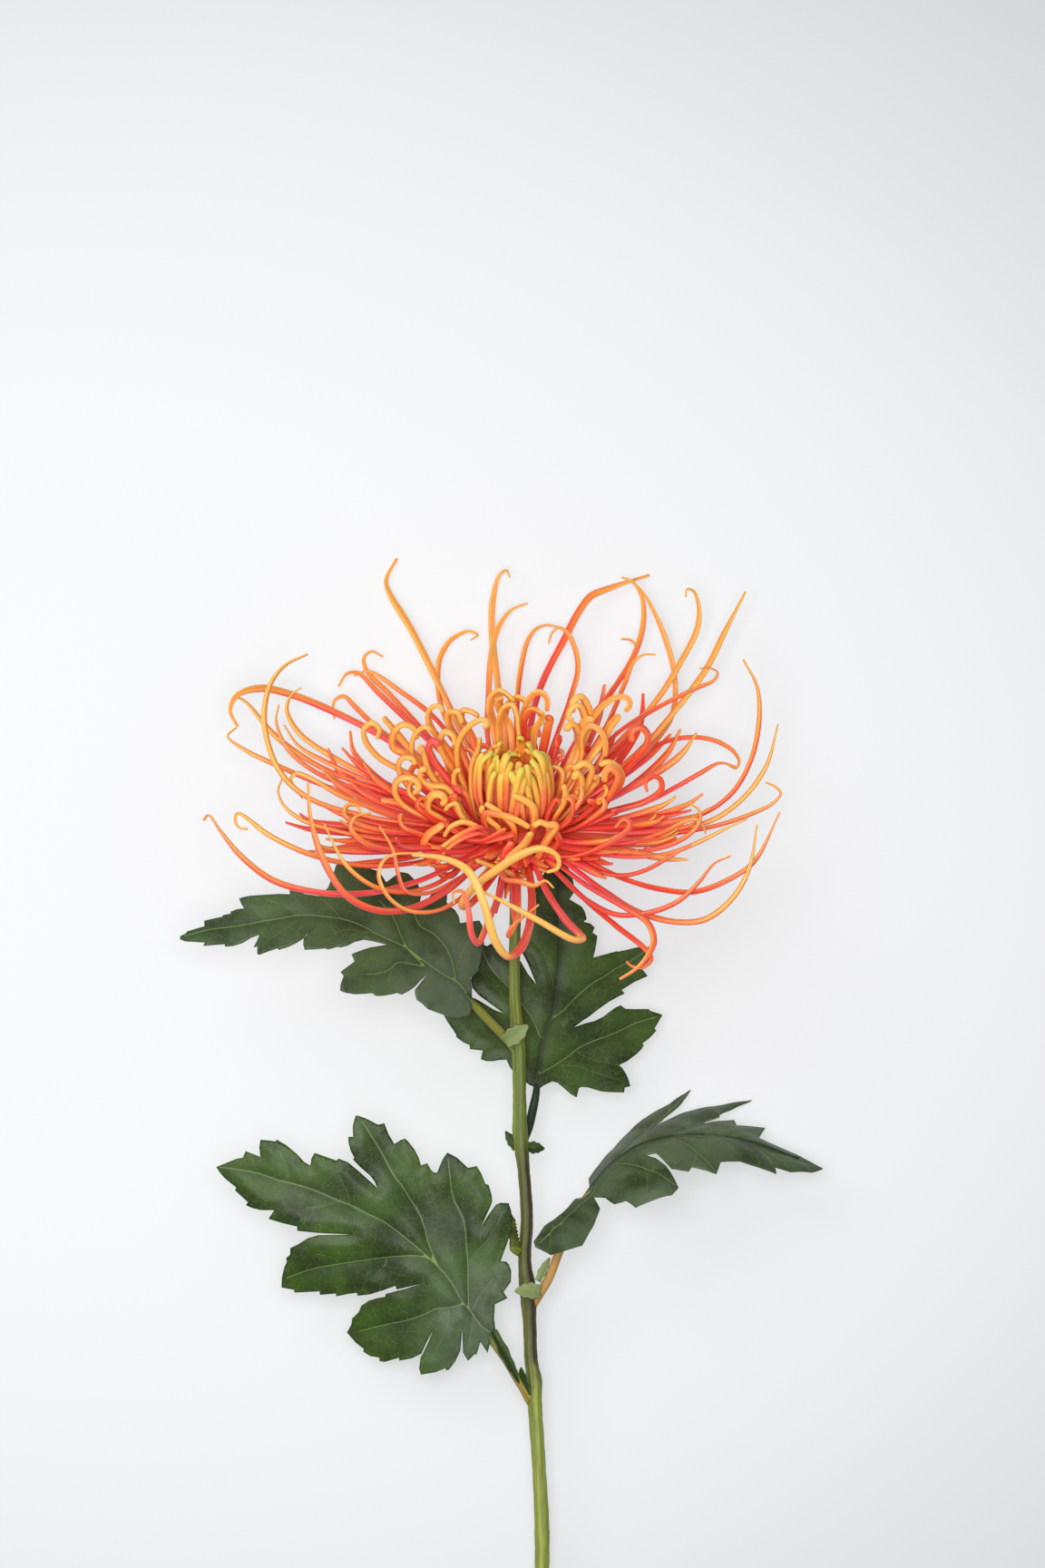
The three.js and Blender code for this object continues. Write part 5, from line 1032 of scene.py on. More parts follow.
disc = plain_skin(RECEPTACLE, along=0, amber=1, tint=0.2, down=0, across=0, over=0)
make_piece("bloom_receptacle", disc, floret_material)

# %% [markdown]
# ## The eye's core
# The eye is a tight barrel of incurved florets, and its inside would show between them. More
# layers of florets could hide it, but a plain core of the same colour does so with far fewer
# points.

# %% Eye core
EYE_CORE = [[0, 3.3], [6.5, 3.3], [7.6, 8], [7.4, 13], [6.2, 17], [4.6, 19], [3.4, 18], [2.4, 14], [0, 12]]
core = plain_skin(EYE_CORE, along=0.12, tint=0.5, down=0, across=0, over=0)
make_piece("eye_core", core, eye_material, ["eye"])

# %% [markdown]
# ## The eye's florets
# They stand in three layers and close over the top. Drawing 55 of them by hand isn't worth it,
# since they differ little. All follow one profile of radii and heights, as shares of the eye's
# own. Chance drifts each sideways, so that the barrel isn't a cage of straight bars.

# %% Eye florets
EYE_RADIUS, EYE_HEIGHT = 10.6, 27
EYE_PROFILE = [[0.5, 0.17], [0.82, 0.28], [0.98, 0.48], [0.98, 0.7], [0.9, 0.88], [0.76, 0.96]]
# Each layer has a number, a count, a girth and a height.
EYE_LAYERS = [(0, 24, 1, 0.97), (1, 19, 0.82, 1.02), (2, 12, 0.66, 0.98)]


def eye_floret(i, layer, count, girth, top):
    """The centreline of floret i of a layer, from its foot to where it closes over the top."""
    turn = 2 * math.pi * (i + 0.5 * layer) / count + between(-0.12, 0.12, i, 21 + layer)
    girth *= between(0.88, 1.06, i, 23 + layer)
    height = EYE_HEIGHT * between(0.78, 1.02, i, 25 + layer) * top
    drift = between(-0.55, 0.45, i, 27 + layer)
    tuck = between(0.72, 1.2, i, 33 + layer)
    last = len(EYE_PROFILE) - 1
    points = []
    for k, (r, h) in enumerate(EYE_PROFILE):
        reach = EYE_RADIUS * girth * (r * tuck if k == last else r)
        points.append(in_bloom(turn + drift * (k / last) ** 1.5, reach, height * h))
    return points


def eye_florets():
    skin = Skin()
    for layer, count, girth, top in EYE_LAYERS:
        for i in range(count):
            width = between(1.4, 2.0, i, 29 + layer)
            path = eye_floret(i, layer, count, girth, top)
            add_floret(skin, path, width, 0.5, chance(i, 46 + layer), 32, 12, 1.1, 0.14, club=0.35)
    return skin


make_piece("eye_florets", eye_florets(), eye_material)

# %% [markdown]
# ## The stem's colour
# The stem is olive, paler low down, dark brown along one stretch and straw-coloured where a leaf
# stalk has dried. Paint by hand would need an unwrapped mesh. Attributes say how brown or
# tan a place is, and noise stretched along the stem gives fibres.

# %% Stem material
def stem_colour(tree):
    down, brown, tan, deep = attributes(tree, "down", "brown", "tan", "deep")
    across, over = attributes(tree, "across", "over")
    streaks = noise(tree, 1.0, 3.0, vector(tree, across * 2.6, over * 2.6, down * 0.06))
    blotches = noise(tree, 1.0, 3.0, vector(tree, across * 0.9, over * 0.9, down * 0.12 + 5.0))
    young = streaks.ramp(0.3, 0.7).mix("#51601E", "#808D30")
    old = streaks.ramp(0.3, 0.7).mix("#6C7A28", "#98A340")
    green = down.ramp(120.0, 170.0).mix(young, old)
    mottled = (blotches.ramp(0.5, 0.75) * 0.4).mix(green, "#6E6A30")
    straw = (tan * streaks.ramp(0.1, 0.5)).mix(mottled, "#B98A4A")
    shaded = (brown * blotches.ramp(0.15, 0.45)).mix(straw, "#38300F")
    return {"Base Color": deep.mix(shaded, "#22331C")}


stem_material = material("stem", stem_colour, Roughness=0.48, Specular_IOR_Level=0.3)
print("made", stem_material.name)

# %% [markdown]
# ## The leaves' colour
# Leaves are dark green with thin yellow-green veins and a net of threads between, and paler
# below. A grey sheen is painted on them, strongest near some stalks' feet and on the folded
# leaf. Painted shade darkens them along the main veins, where the blade sinks, and in the upper
# right leaf's midrib groove. One painted image could be laid on all of them, but each leaf has
# veins of its own. The mesh tells how far the nearest vein is, and the colour follows that.

# %% Leaf material
def leaf_colour(tree):
    main, side, under, pale = attributes(tree, "main", "side", "under", "pale")
    grey, groove = attributes(tree, "grey", "groove")
    place = vector(tree, attribute(tree, "flat_x"), attribute(tree, "flat_y"), 0.0)
    clouds = noise(tree, 0.07, 3.0, place)
    specks = noise(tree, 2.4, 4.0, place)
    threads = make_node(
        tree, "ShaderNodeTexVoronoi", {"feature": "DISTANCE_TO_EDGE"}, 0,
        {"Vector": place, "Scale": 0.5, "Randomness": 1.0},
    )
    green = clouds.ramp(0.35, 0.65).mix("#243411", "#3B5617")
    # Painted sheen: greyer where the grey attribute is high, most near some stalks' feet.
    dusty = (grey * clouds.ramp(0.2, 0.6)).mix(green, "#55644E")
    speckled = (specks.ramp(0.5, 0.8) * 0.25).mix(dusty, "#556636")
    threaded = (threads.ramp(0.05, 0.0) * specks.ramp(0.35, 0.6) * 0.4).mix(speckled, "#6E8540")
    # Painted shade: darker along the main veins, where the blade sinks.
    vein_valley_shade = (main.ramp(2.6, 0.2) * 0.3).mix(threaded, "#202C14")
    small = (side.ramp(0.15, 0.03) * specks.ramp(0.25, 0.6) * 0.4).mix(vein_valley_shade, "#7C9048")
    ribbed = (main.ramp(0.17, 0.04) * 0.6).mix(small, "#87A055")
    # Painted shade: the midrib's groove is darkened where the groove attribute is set.
    groove_shaded = (groove * 0.8).mix(ribbed, "#1A2412")
    fresh = (pale * 0.85).mix(groove_shaded, "#8A9A62")
    below = (under * 0.8).mix(fresh, "#6E7D5A")
    bump = make_node(
        tree, "ShaderNodeBump", {}, 0, {"Strength": 0.25, "Distance": 0.0002, "Height": specks},
    )
    return {"Base Color": below, "Roughness": specks * 0.15 + 0.36, "Normal": bump}


leaf_material = material("leaf", leaf_colour, Specular_IOR_Level=0.24)
print("made", leaf_material.name)

# %% [markdown]
# ## The stem's skin
# The stem has its form already. What it still lacks is where it is brown: on one side of its
# middle stretch. It could be painted by hand on the mesh, but two soft steps along it and one
# across it say the same and follow the stem if it changes.

# %% Stem skin
BROWN_FROM, BROWN_TO = (-158, -144), (-94, -82)


def brownness(points):
    """How brown the skin is: most on the right side of the middle stretch."""
    stretch = smooth(*BROWN_FROM, points[:, 1]) * (1 - smooth(*BROWN_TO, points[:, 1]))
    centre = np.interp(-points[:, 1], [-row[1] for row in STEM], [row[0] for row in STEM])
    return stretch * (0.6 + 0.4 * smooth(-0.6, 1.0, points[:, 0] - centre))


def stem_skin():
    skin = Skin()
    rings = stem_points()
    points = np.vstack([rings.reshape(-1, 3), rings[:1].mean(1), rings[-1:].mean(1)])
    turns = np.append(np.tile(np.arange(STEM_SIDES) * 2 * math.pi / STEM_SIDES, len(rings)), [0, 0])
    skin.add(
        points, ring_faces(len(rings), STEM_SIDES), down=-points[:, 1],
        across=np.cos(turns), over=np.sin(turns), brown=brownness(points),
    )
    return skin


make_piece("stem_skin", stem_skin(), stem_material, ["stem"])

# %% [markdown]
# ## The bud
# A small side bud sits on the stem, a stack of scales that get narrower upwards. Modelling it
# scale by scale isn't worth it at this size, so one loop leans each scale a little differently.
# The bracts of the calyx are such scales too.

# %% Bud
BRACT_SIDES = 10
BUD_SCALES = 9
BUD_FOOT = -116
BUD_STEP = 1.05


def add_bract(skin, path, steps, width, bluntness, out, flat, shift, brown):
    """A pointed scale along a path, flattened in the direction out."""
    line, down = spaced(smooth_curve(path), steps)
    radius = width * np.sqrt(np.clip(1 - (down / down[-1]) ** bluntness, 0.01, 1))
    points, faces, turns = tube(line, radius, BRACT_SIDES, out, 0.0, flat)
    down = per_ring(down, BRACT_SIDES) + shift
    skin.add(points, faces, down=down, across=np.cos(turns), over=np.sin(turns), brown=brown)


def bud_skin():
    skin = Skin()
    for i in range(BUD_SCALES):
        y = BUD_FOOT + i * BUD_STEP
        lean = between(-0.5, 0.5, i, 61)
        path = [
            [1.2 - i * 0.22, y, 1.5],
            [-0.5 - i * 0.12 + lean, y + 1.2, 2.5],
            [-0.9 - i * 0.1 + lean, y + 2.4, 2.3],
        ]
        brown = between(0, 0.8, i, 62)
        add_bract(skin, path, 9, 1.25 - i * 0.05, 2.5, [0, 0, 1], 0.5, i * 7, brown)
    return skin


make_piece("stem_bud", bud_skin(), stem_material)

# %% [markdown]
# ## The calyx
# Behind the bloom the receptacle sits in a green cup of overlapping pointed bracts. A bump map
# could fake them, but they show in outline from behind. So three rings of bracts stand on a
# turned cup. Towards the stem they get narrower, shorter and browner.

# %% Calyx
CUP = [[0, -11], [1.7, -11], [3.2, -9.6], [5.6, -7.2], [6.4, -4.7], [0, -4.7]]


def scale_row(skin, count, foot, head, width, phase, brown):
    """A ring of pointed bracts from foot [radius, height] to head."""
    middle = [(foot[0] + head[0]) / 2 + 0.7, (foot[1] + head[1]) / 2]
    for i in range(count):
        turn = 2 * math.pi * (i + phase) / count
        path = [in_bloom(turn, *place) for place in (foot, middle, head)]
        add_bract(skin, path, 10, width, 2.2, in_bloom(turn, 1, 0), 0.35, i * 9, brown)


def calyx_skin():
    skin = Skin()
    points, faces = turned(CUP)
    skin.add(points, faces, down=points[:, 1], across=0.2, over=0.0, brown=0.0)
    scale_row(skin, 10, [3.0, -9.6], [7.4, -4.9], 1.5, 0.0, 0.05)
    scale_row(skin, 10, [2.6, -10.2], [6.5, -6.4], 1.4, 0.5, 0.12)
    scale_row(skin, 8, [2.0, -10.6], [5.0, -8.2], 1.2, 0.2, 0.2)
    return skin


make_piece("calyx_bracts", calyx_skin(), stem_material, ["calyx"])

# %% [markdown]
# ## The upper left leaf
# Chrysanthemum leaves are cut into lobes, and the lobes into teeth. No rule gives the teeth of
# one certain leaf, so its edge was drawn: X Y of the edge, a closed line from point to point, of
# the main veins and of the thin side veins, in front view. Its depth comes from the packed
# solid. A stipule, the small leaf at the stalk's foot, is given by its foot, its tip, the way it
# faces and its width.

# %% Upper left leaf
UPPER_LEFT = {
    "name": "leaf_upper_left",
    "tan": 0.15, "pale": 1, "grey": 0.5, "dusty": 1, "deep": 0, "groove": 0,
    "stalk": [[1, -60.5, -0.5], [-4, -55.5, 2.5], [-8.5, -50.8, 4.5], [-12, -47, 6]],
    "edge": (
        "-93 -29.3, -90.7 -28.1, -90.2 -27.5, -87.9 -26.8, -85.5 -26.1, -85.6 -24.6, -83 -24, "
        "-80.6 -23.5, -80.5 -23.1, -78.3 -22.6, -78.3 -22.1, -76.5 -21.4, -74.6 -21.2, -75.4 -19.9, "
        "-76 -18.5, -75.2 -18.2, -73 -17.7, -70 -17.5, -65 -17.2, -62 -17.3, -62.1 -15.8, -61 -15.5, "
        "-58 -17.2, -54 -17.8, -51.5 -15.5, -50 -11.5, -49.3 -9.2, -45 -9.3, -41 -10, -37.5 -11, "
        "-35.5 -14, -33.5 -12.5, -31.5 -11.2, -29.5 -11.6, -27 -14, -25.8 -17, -26.4 -20.8, "
        "-24.5 -19, -22.5 -16.8, -20.5 -15.6, -18.7 -17.5, -18.9 -19.6, -17.8 -20.8, -16.5 -21.8, "
        "-15.5 -23.5, -15.2 -25.3, -12.5 -24.9, -9.9 -24.6, -9.1 -25.9, -8.6 -29, -8.6 -31.4, "
        "-10.2 -38.5, -12.3 -40.5, -11.9 -43.1, -11.9 -46.5, -12 -48.5, -12.4 -50.4, -15 -51, "
        "-18 -50.8, -20.5 -50, -22.5 -49.2, -23.7 -48.8, -25.5 -47.1, -26.9 -46.2, -27.4 -44.5, "
        "-27.45 -43.4, -25.8 -41.3, -24.2 -39.3, -26 -41, -27.7 -42.8, -29 -43.7, -31 -44.7, "
        "-32.2 -44.2, -34 -44.6, -36.5 -45, -38 -45, -39.2 -44.2, -41 -44.4, -44 -44.5, -46.5 -44.1, "
        "-47.9 -43.5, -47.9 -42, -47 -39.5, -47.8 -38.4, -44 -35.6, -44.3 -34.8, -44.8 -33.6, "
        "-42.5 -32.7, -40 -31.9, -36.3 -31.3, -35 -31, -37 -30.5, -39 -30, -41.5 -29.6, -44 -30.2, "
        "-45.9 -31.2, -48 -31.7, -48.6 -31.5, -51.2 -32.2, -52.2 -31.9, -55 -32.2, -57.8 -32.3, "
        "-58.2 -31, -58.1 -29.3, -56.8 -27.9, -54.5 -25.5, -55.8 -26.8, -57.2 -28, -58.4 -29.4, "
        "-60 -30.4, -62.5 -31.6, -65 -32.3, -65.3 -31.9, -68 -32.8, -70.3 -33.7, -70.8 -33.5, "
        "-70.9 -31.3, -71.8 -31.7, -71 -30.2, -70.2 -28.2, -72.5 -29, -75 -30.5, -77.5 -31.3, "
        "-79.8 -31.5, -79.8 -30.8, -85.7 -31.3, -85.2 -30.4, -91 -30.1"
    ),
    "veins": [
        ("-12.5 -45.5, -16 -41.5, -19.5 -39.5, -24.5 -36, -30 -32, -34.5 -29.8, -38 -28.2, "
         "-41.5 -26.2, -45 -24.8, -48 -24, -52.2 -23.4, -56 -23, -60 -23.1, -65 -24, -70 -24.8, "
         "-75 -25.8, -80 -26.5, -84 -27, -91 -28.8"),
        "-26 -37, -27.7 -36.6, -32.5 -36.1, -34.3 -37.8, -37.4 -39, -41 -39.2",
        "-25 -37, -29.3 -32.6, -31 -29.6, -34 -22.9, -37.5 -19",
        "-16.5 -40.5, -17.4 -36, -18.9 -32.3, -22.2 -28.4, -26.2 -26, -27.7 -22.9",
    ],
    "side_veins": [
        "-60.2 -22.8, -62.5 -21.2, -65 -19.8, -68.5 -18.8",
        "-69 -24.2, -71.5 -22",
        "-47.7 -24.2, -50 -21.5, -53.5 -18.5",
        "-60 -24.5, -62 -25.7, -64.1 -27.4, -67.8 -29.7",
        "-38 -28.3, -42 -27.5, -46 -27, -50 -28",
        "-34 -38.5, -35 -41",
        "-16.3 -37.5, -14.5 -33, -12.8 -29.5, -11.5 -26",
    ],
    "stipules": [
        ([-2.8, -58, 1.8], [3.6, -53.4, 3.8], [0.3, 0.1, 1], 4.6),
    ],
}
print(UPPER_LEFT["name"], "has", len(UPPER_LEFT["veins"]), "main veins")

# %% [markdown]
# ## The upper right leaf
# This one points up behind the bloom, and its midrib lies in a groove that is painted dark, as
# painted shade. It is given in the same way as the first.

# %% Upper right leaf
UPPER_RIGHT = {
    "name": "leaf_upper_right",
    "tan": 0.1, "pale": 0, "grey": 0.15, "dusty": 0, "deep": 1, "groove": 1,
    "stalk": [[1.4, -87, -0.4], [3.6, -82, -3.4], [4.8, -77, -5], [5.8, -72, -6]],
    "edge": (
        "6.5 -71.1, 8 -70.1, 10.3 -69, 11.8 -69.4, 13.5 -70.8, 15.5 -72.6, 17 -73.4, 17.6 -70.9, "
        "18.5 -70.6, 20.4 -70.8, 23.5 -71.8, 26 -72.1, 30.1 -72.2, 30.3 -70.9, 31.8 -70.5, "
        "31.4 -68.9, 30.7 -67.2, 29.5 -65.4, 28.7 -64.7, 31 -63.6, 33.5 -61.8, 35 -60.3, 35.6 -59.3, "
        "35.2 -58.8, 37 -57.5, 39.1 -55.3, 38.6 -54.7, 40.8 -50.9, 37.2 -49.7, 37 -49.3, 33 -49.3, "
        "30.5 -49.2, 29.2 -48.2, 27.8 -48.8, 26 -50.1, 24.5 -51.3, 22 -52.5, 19.5 -53.1, 16.3 -54.2, "
        "18.8 -52.3, 20 -51.6, 23 -49.3, 26 -47.2, 29 -45.6, 30.3 -45, 29.5 -44, 33 -41.8, "
        "36.7 -40.2, 35.2 -38.3, 37.4 -36.7, 37.3 -35, 38 -32.1, 34 -32.2, 31 -32.9, 28.6 -33.4, "
        "28 -33.3, 25 -34.1, 21.6 -35, 22.1 -33, 22.5 -31, 22.7 -29, 21.4 -28.1, 22 -26.7, "
        "20.8 -25.6, 18.9 -25.1, 19.8 -24.4, 19.3 -22.4, 18.5 -21, 16.5 -19.8, 15 -18.9, 16.6 -16.5, "
        "15.6 -12, 13 -7.2, 9 -10, 5.6 -15.5, 3.6 -21, 2.6 -27, 1.5 -32.8, 3.6 -36.9, 5.8 -42.3, "
        "3.5 -39.5, 1.5 -36, -1.5 -34.7, -3.1 -33.7, -5 -32.3, -6.7 -31.1, -7.7 -31.8, -8.7 -31.5, "
        "-10 -35, -10.2 -38.7, -11.5 -39.3, -12.3 -41, -11.9 -43.3, -10.05 -45.4, -7 -47.6, "
        "-3.1 -50.4, -6 -49.3, -9.6 -47.05, -11.2 -46.2, -14 -45.9, -17 -47.3, -19.2 -49.2, "
        "-20 -50.3, -18.7 -52.7, -17.2 -54.8, -16.3 -56.2, -16.3 -56.8, -14.4 -58.2, -12.6 -59, "
        "-12.5 -60.1, -9 -60.5, -9.5 -62.85, -8 -63.4, -6 -63.4, -4.3 -63.1, -2.4 -63, -1.5 -65.1, "
        "1 -68, 4 -70"
    ),
    "veins": [
        ("5.5 -70, 6.3 -66, 7.2 -60, 8.4 -55, 10.7 -49.7, 11.6 -42.8, 12.2 -36, 12.5 -31, 12.3 -27, "
         "12 -22, 12.6 -14, 12.9 -9"),
        "10.1 -52, 13.1 -49.7, 17.5 -45.3, 21.5 -42, 24.5 -40.3, 28 -38, 31 -36.5, 36.5 -33",
        "7 -66.9, 11.5 -64.3, 14.5 -62.3, 17 -60.3, 21 -58.3, 26 -56.5, 29.5 -55, 33 -53.3, 39 -51.5",
        "6.9 -57, 5 -52.5, 2 -48, -2.4 -42.6, -5.5 -39.5, -7.5 -36.5, -9 -33",
    ],
    "side_veins": [
        "16.5 -60.8, 21 -63, 25 -64, 28.5 -64.7",
        "12 -64.6, 17 -65, 20.5 -66.2, 25 -67.7, 29 -69",
        "13 -65, 14.5 -68",
        "10.5 -42, 9.5 -38.5, 8 -34.5, 7.2 -32.9, 5 -30.5, 3.6 -29.5",
    ],
    "stipules": [
        ([0.4, -87.5, -1.2], [-2.8, -82.6, -1.8], [-0.2, 0.2, 1], 2.4),
        ([3, -87, -1], [8.2, -87.5, -1.8], [0, 0.1, 1], 3),
    ],
}
print(UPPER_RIGHT["name"], "has", len(UPPER_RIGHT["veins"]), "main veins")

# %% [markdown]
# ## The lower left leaf
# The third open leaf is deeply cut and has a pair of dark wings at its foot. It too is given in
# the same way.

# %% Lower left leaf
LOWER_LEFT = {
    "name": "leaf_lower_left",
    "tan": 0.55, "pale": 0, "grey": 0.05, "dusty": 0.7, "deep": 0, "groove": 0,
    "stalk": [[4.6, -157, 0.5], [1, -151.5, 2.5], [-2.5, -145.5, 3.5], [-6.6, -140, 4]],
    "edge": (
        "-6.5 -139.3, -7.6 -143.6, -9.6 -140.6, -10.7 -144.2, -11.1 -143.9, -13 -145.8, -14.4 -143.5, "
        "-14.6 -137.2, -15.1 -143, -16.5 -146, -18.2 -148.2, -19 -148.5, -19.3 -147.9, -22 -149, "
        "-26 -149.7, -26.5 -148, -26.1 -145, -25.4 -143.7, -24.1 -141, -22.5 -137, -24.6 -141.1, "
        "-25.9 -143.9, -28.5 -145.2, -31.9 -145.9, -32.1 -145.1, -36 -146.3, -37.4 -146.1, "
        "-37.5 -145.1, -40 -144.7, -41.9 -143.5, -41.8 -142.7, -44 -141, -46.4 -138.2, -45.2 -136, "
        "-45 -134.4, -43.2 -132.6, -42.5 -130.8, -40.5 -129.4, -38 -128.6, -35.8 -128.2, "
        "-35.7 -127.4, -30 -125.9, -25.8 -124.5, -32.6 -126.1, -33 -125.1, -36.5 -126.4, -40 -127.5, "
        "-43.4 -127.9, -43.6 -127.1, -46 -127.4, -49.3 -128.1, -49.4 -127.3, -53.8 -127.7, "
        "-53.9 -126.7, -57 -126.9, -60.9 -127.1, -60.9 -126.3, -64.4 -125.7, -64.3 -123, -63.6 -120, "
        "-62.9 -118.5, -63.1 -117.5, -62 -116.6, -61.9 -114.7, -60 -113.8, -57 -111.9, -54.2 -111.1, "
        "-44.5 -110.95, -54 -110.5, -60 -109.9, -60 -108.7, -64 -107.8, -67.9 -106.6, -66.3 -104.2, "
        "-70 -104.2, -72.5 -103.6, -74.1 -102.9, -73.6 -102, -77.1 -98.8, -76.8 -98, -80 -95.4, "
        "-81.3 -93.9, -82.3 -92.4, -79 -91, -76.5 -90, -75 -89.8, -74.2 -88, -70.1 -89.6, -70.4 -87, "
        "-70.1 -84.8, -67 -85.1, -66.1 -85.3, -65.6 -84.8, -63 -86.3, -60 -88.8, -58 -91, "
        "-56.4 -91.9, -56 -89.8, -55.2 -88.4, -51.5 -89.7, -49.2 -90.5, -48.5 -90, -46 -91, "
        "-43 -93.5, -40 -96.2, -38 -98, -38.7 -96.3, -40 -94.6, -42.5 -92.5, -44.6 -90.3, "
        "-44.3 -89.7, -45.3 -87.8, -45.9 -85.5, -45.9 -84, -44.6 -84, -44.7 -81, -44 -78.4, "
        "-43.5 -78.1, -41 -79, -37.8 -80.7, -36 -80.3, -34.8 -83.4, -33.3 -86, -31.5 -84.9, "
        "-30.4 -84.5, -29.5 -85.2, -27.7 -87.5, -26.5 -89.8, -25.9 -91.9, -24.2 -91.3, -23 -93.4, "
        "-22.3 -93.9, -21.5 -93.9, -20 -90.3, -18.7 -88.4, -16 -89.8, -13 -92.6, -10.6 -92.1, "
        "-9.4 -94, -8.2 -97, -7.3 -97.3, -6.5 -100, -6.3 -101.8, -7 -103.6, -9.3 -108.6, -7.4 -105.6, "
        "-5.3 -102.7, -4 -102.2, -1.8 -102.3, -1.1 -104.5, -0.8 -107, -1.2 -110.5, -4 -118.3, "
        "-2.5 -118.4, -1.7 -119.3, -1.1 -121, -1.2 -124, -3.2 -126.8, -2.1 -128.5, -5.6 -130.2, "
        "-5.8 -134, -5.3 -138.3"
    ),
    "veins": [
        ("-6 -138.5, -9.5 -136, -12 -132.5, -14.5 -129.5, -18 -123.5, -22 -119, -27 -114.5, "
         "-36 -107.5, -40 -105.5, -45 -103, -50 -101, -55 -98.8, -60 -97.2, -65 -96, -71 -94, "
         "-78 -92.8, -81.5 -92.4"),
        ("-21.5 -119, -24 -113, -25 -109, -26.5 -105, -29 -101, -31.5 -97, -33.5 -94.5, -37 -88, "
         "-42 -80"),
        "-12.8 -131, -13 -125, -13.1 -118, -13.5 -113, -14 -108, -15.5 -104, -17 -101, -18.5 -90",
        "-22 -119, -24 -117.5, -27 -116.8, -33 -117, -40 -117.8, -48 -119, -56 -120.5, -63 -123",
        "-14.5 -130.2, -18 -131, -22 -131.5, -25 -133, -30 -134.7, -36 -136, -43 -137.8",
    ],
    "side_veins": [
        "-12.5 -118.5, -10.5 -115.5, -8 -113, -6.5 -110.5, -5 -108, -3 -103.5",
        "-11.5 -131, -9.5 -127.5, -6 -123",
        "-11.8 -133, -12 -137, -12.8 -142",
        "-48.3 -118.8, -50 -117.5, -55 -116.2",
        "-35.5 -117.5, -36 -119.5, -38.5 -122",
        "-18.5 -131, -18.3 -134.5, -20 -139, -23 -145",
        "-45.5 -103, -46 -100, -47.5 -96.5, -49 -93.5",
        "-50 -102.3, -54 -103.3, -57.5 -103.5",
        "-71 -93.8, -71.5 -92.5, -72.5 -90",
        "-62 -96.3, -63 -92, -65 -88",
    ],
    "stipules": [
        ([-6.2, -137.6, 5.2], [1.2, -152, 3.9], [0.4, 0.2, 1], 2.8),
        ([3.4, -155, 1.6], [1.4, -147.6, 3.8], [-0.6, 0.2, 1], 3),
    ],
}
print(LOWER_LEFT["name"], "has", len(LOWER_LEFT["veins"]), "main veins")

# %% [markdown]
# ## The folded leaf
# The fourth leaf is folded along its midrib and seen nearly edge on, so a flat drawing would hide
# most of it. It is given by its midrib and by the lobes down each side, from base to tip: the
# place of its vein's foot in twentieths of the midrib, the edge before its tip, the tip, the
# edge after it, and the notch. rise is how far a side comes forward for each millimetre out from
# the midrib, and sag bends it back. A point with three numbers is given in full.

# %% Folded leaf outline
FOLDED_LEAF = {
    "name": "leaf_lower_right",
    "tan": 0.9, "pale": 1, "grey": 0.7, "deep": 0,
    "stalk": [[4.6, -130, 0], [8.6, -124.5, 1], [13, -113.5, 2], [17, -105, 2.6], [20.5, -99.5, 3]],
    "midrib": [
        [20.5, -99.5, 3], [23, -96, 4], [27, -91.6, 4], [33, -87.2, 3], [40, -84.9, 2], [48, -84, 0],
        [57, -83.6, -2], [70, -87.4, -5], [85, -92.7, -8],
    ],
    "left": {
        "rise": -2, "sag": 0,
        "lobes": [
            (2,
             [[20.2, -96, -3], [28, -86.5, -11], [35, -79.6, -17], [43, -75, -21]],
             [48.6, -71.2, -25],
             [[46, -74.5, -20], [41, -78.5, -14]],
             [36.5, -82, -7]),
            (7,
             [[43, -79.2, -13], [47, -77.5, -16], [55.5, -75.8, -20]],
             [65.6, -74.2, -25],
             [[58, -77.2, -18], [54.6, -78.6, -13]],
             [51, -80.6, -8]),
        ],
        "end": [
            [60.5, -79.6, -14], [61.2, -80.6, -11], [69.2, -81.8, -16], [67.4, -84.6, -10],
            [75, -87.8, -10], [80, -90.2, -9],
        ],
    },
    "right": {
        "rise": 1.3, "sag": 0.014,
        "lobes": [
            (1,
             [[16.6, -100], [13, -104.2], [8, -107.6], [5.2, -111.6]],
             [5.6, -113.4],
             [[10, -115.7], [14, -114.4], [18.5, -113.2], [21.6, -108], [23.3, -103.8]],
             [21.4, -100.6]),
            (3,
             [[24.5, -100.2], [27, -102], [30.2, -100.8], [32.8, -102.9], [35, -101.5], [43, -99.2]],
             [44.8, -97.2],
             [[43.6, -94.7], [41.5, -91.6], [38.6, -89.6]],
             [35.8, -88.5]),
            (8, [[38.7, -88.2], [43, -92], [47.8, -93], [48.6, -91.8]], [55.4, -93.6], [], [56.6, -90.6]),
        ],
        "end": [[62, -90.5], [67.8, -92.3], [72, -94.2], [71.6, -92], [76, -93.6], [82, -93.5]],
    },
    "stipules": [
        ([7, -127, 1.8], [-0.2, -126.4, 3.8], [0.1, 0.4, 1], 4.4),
        ([6.4, -124, 0.6], [9.4, -117.4, 0.8], [-0.7, 0.3, 1], 2.4),
    ],
}
RIBS = 20
print(FOLDED_LEAF["name"], "has", len(FOLDED_LEAF["left"]["lobes"]), "lobes on its left")

# %% [markdown]
# ## Near and inside
# A blade is filled with a grid of points, of which only those inside its edge are kept, and its
# veins are coloured by how far away they are. Blender could answer both with ray casts, but on a
# flat drawing a few sums on arrays are quicker.

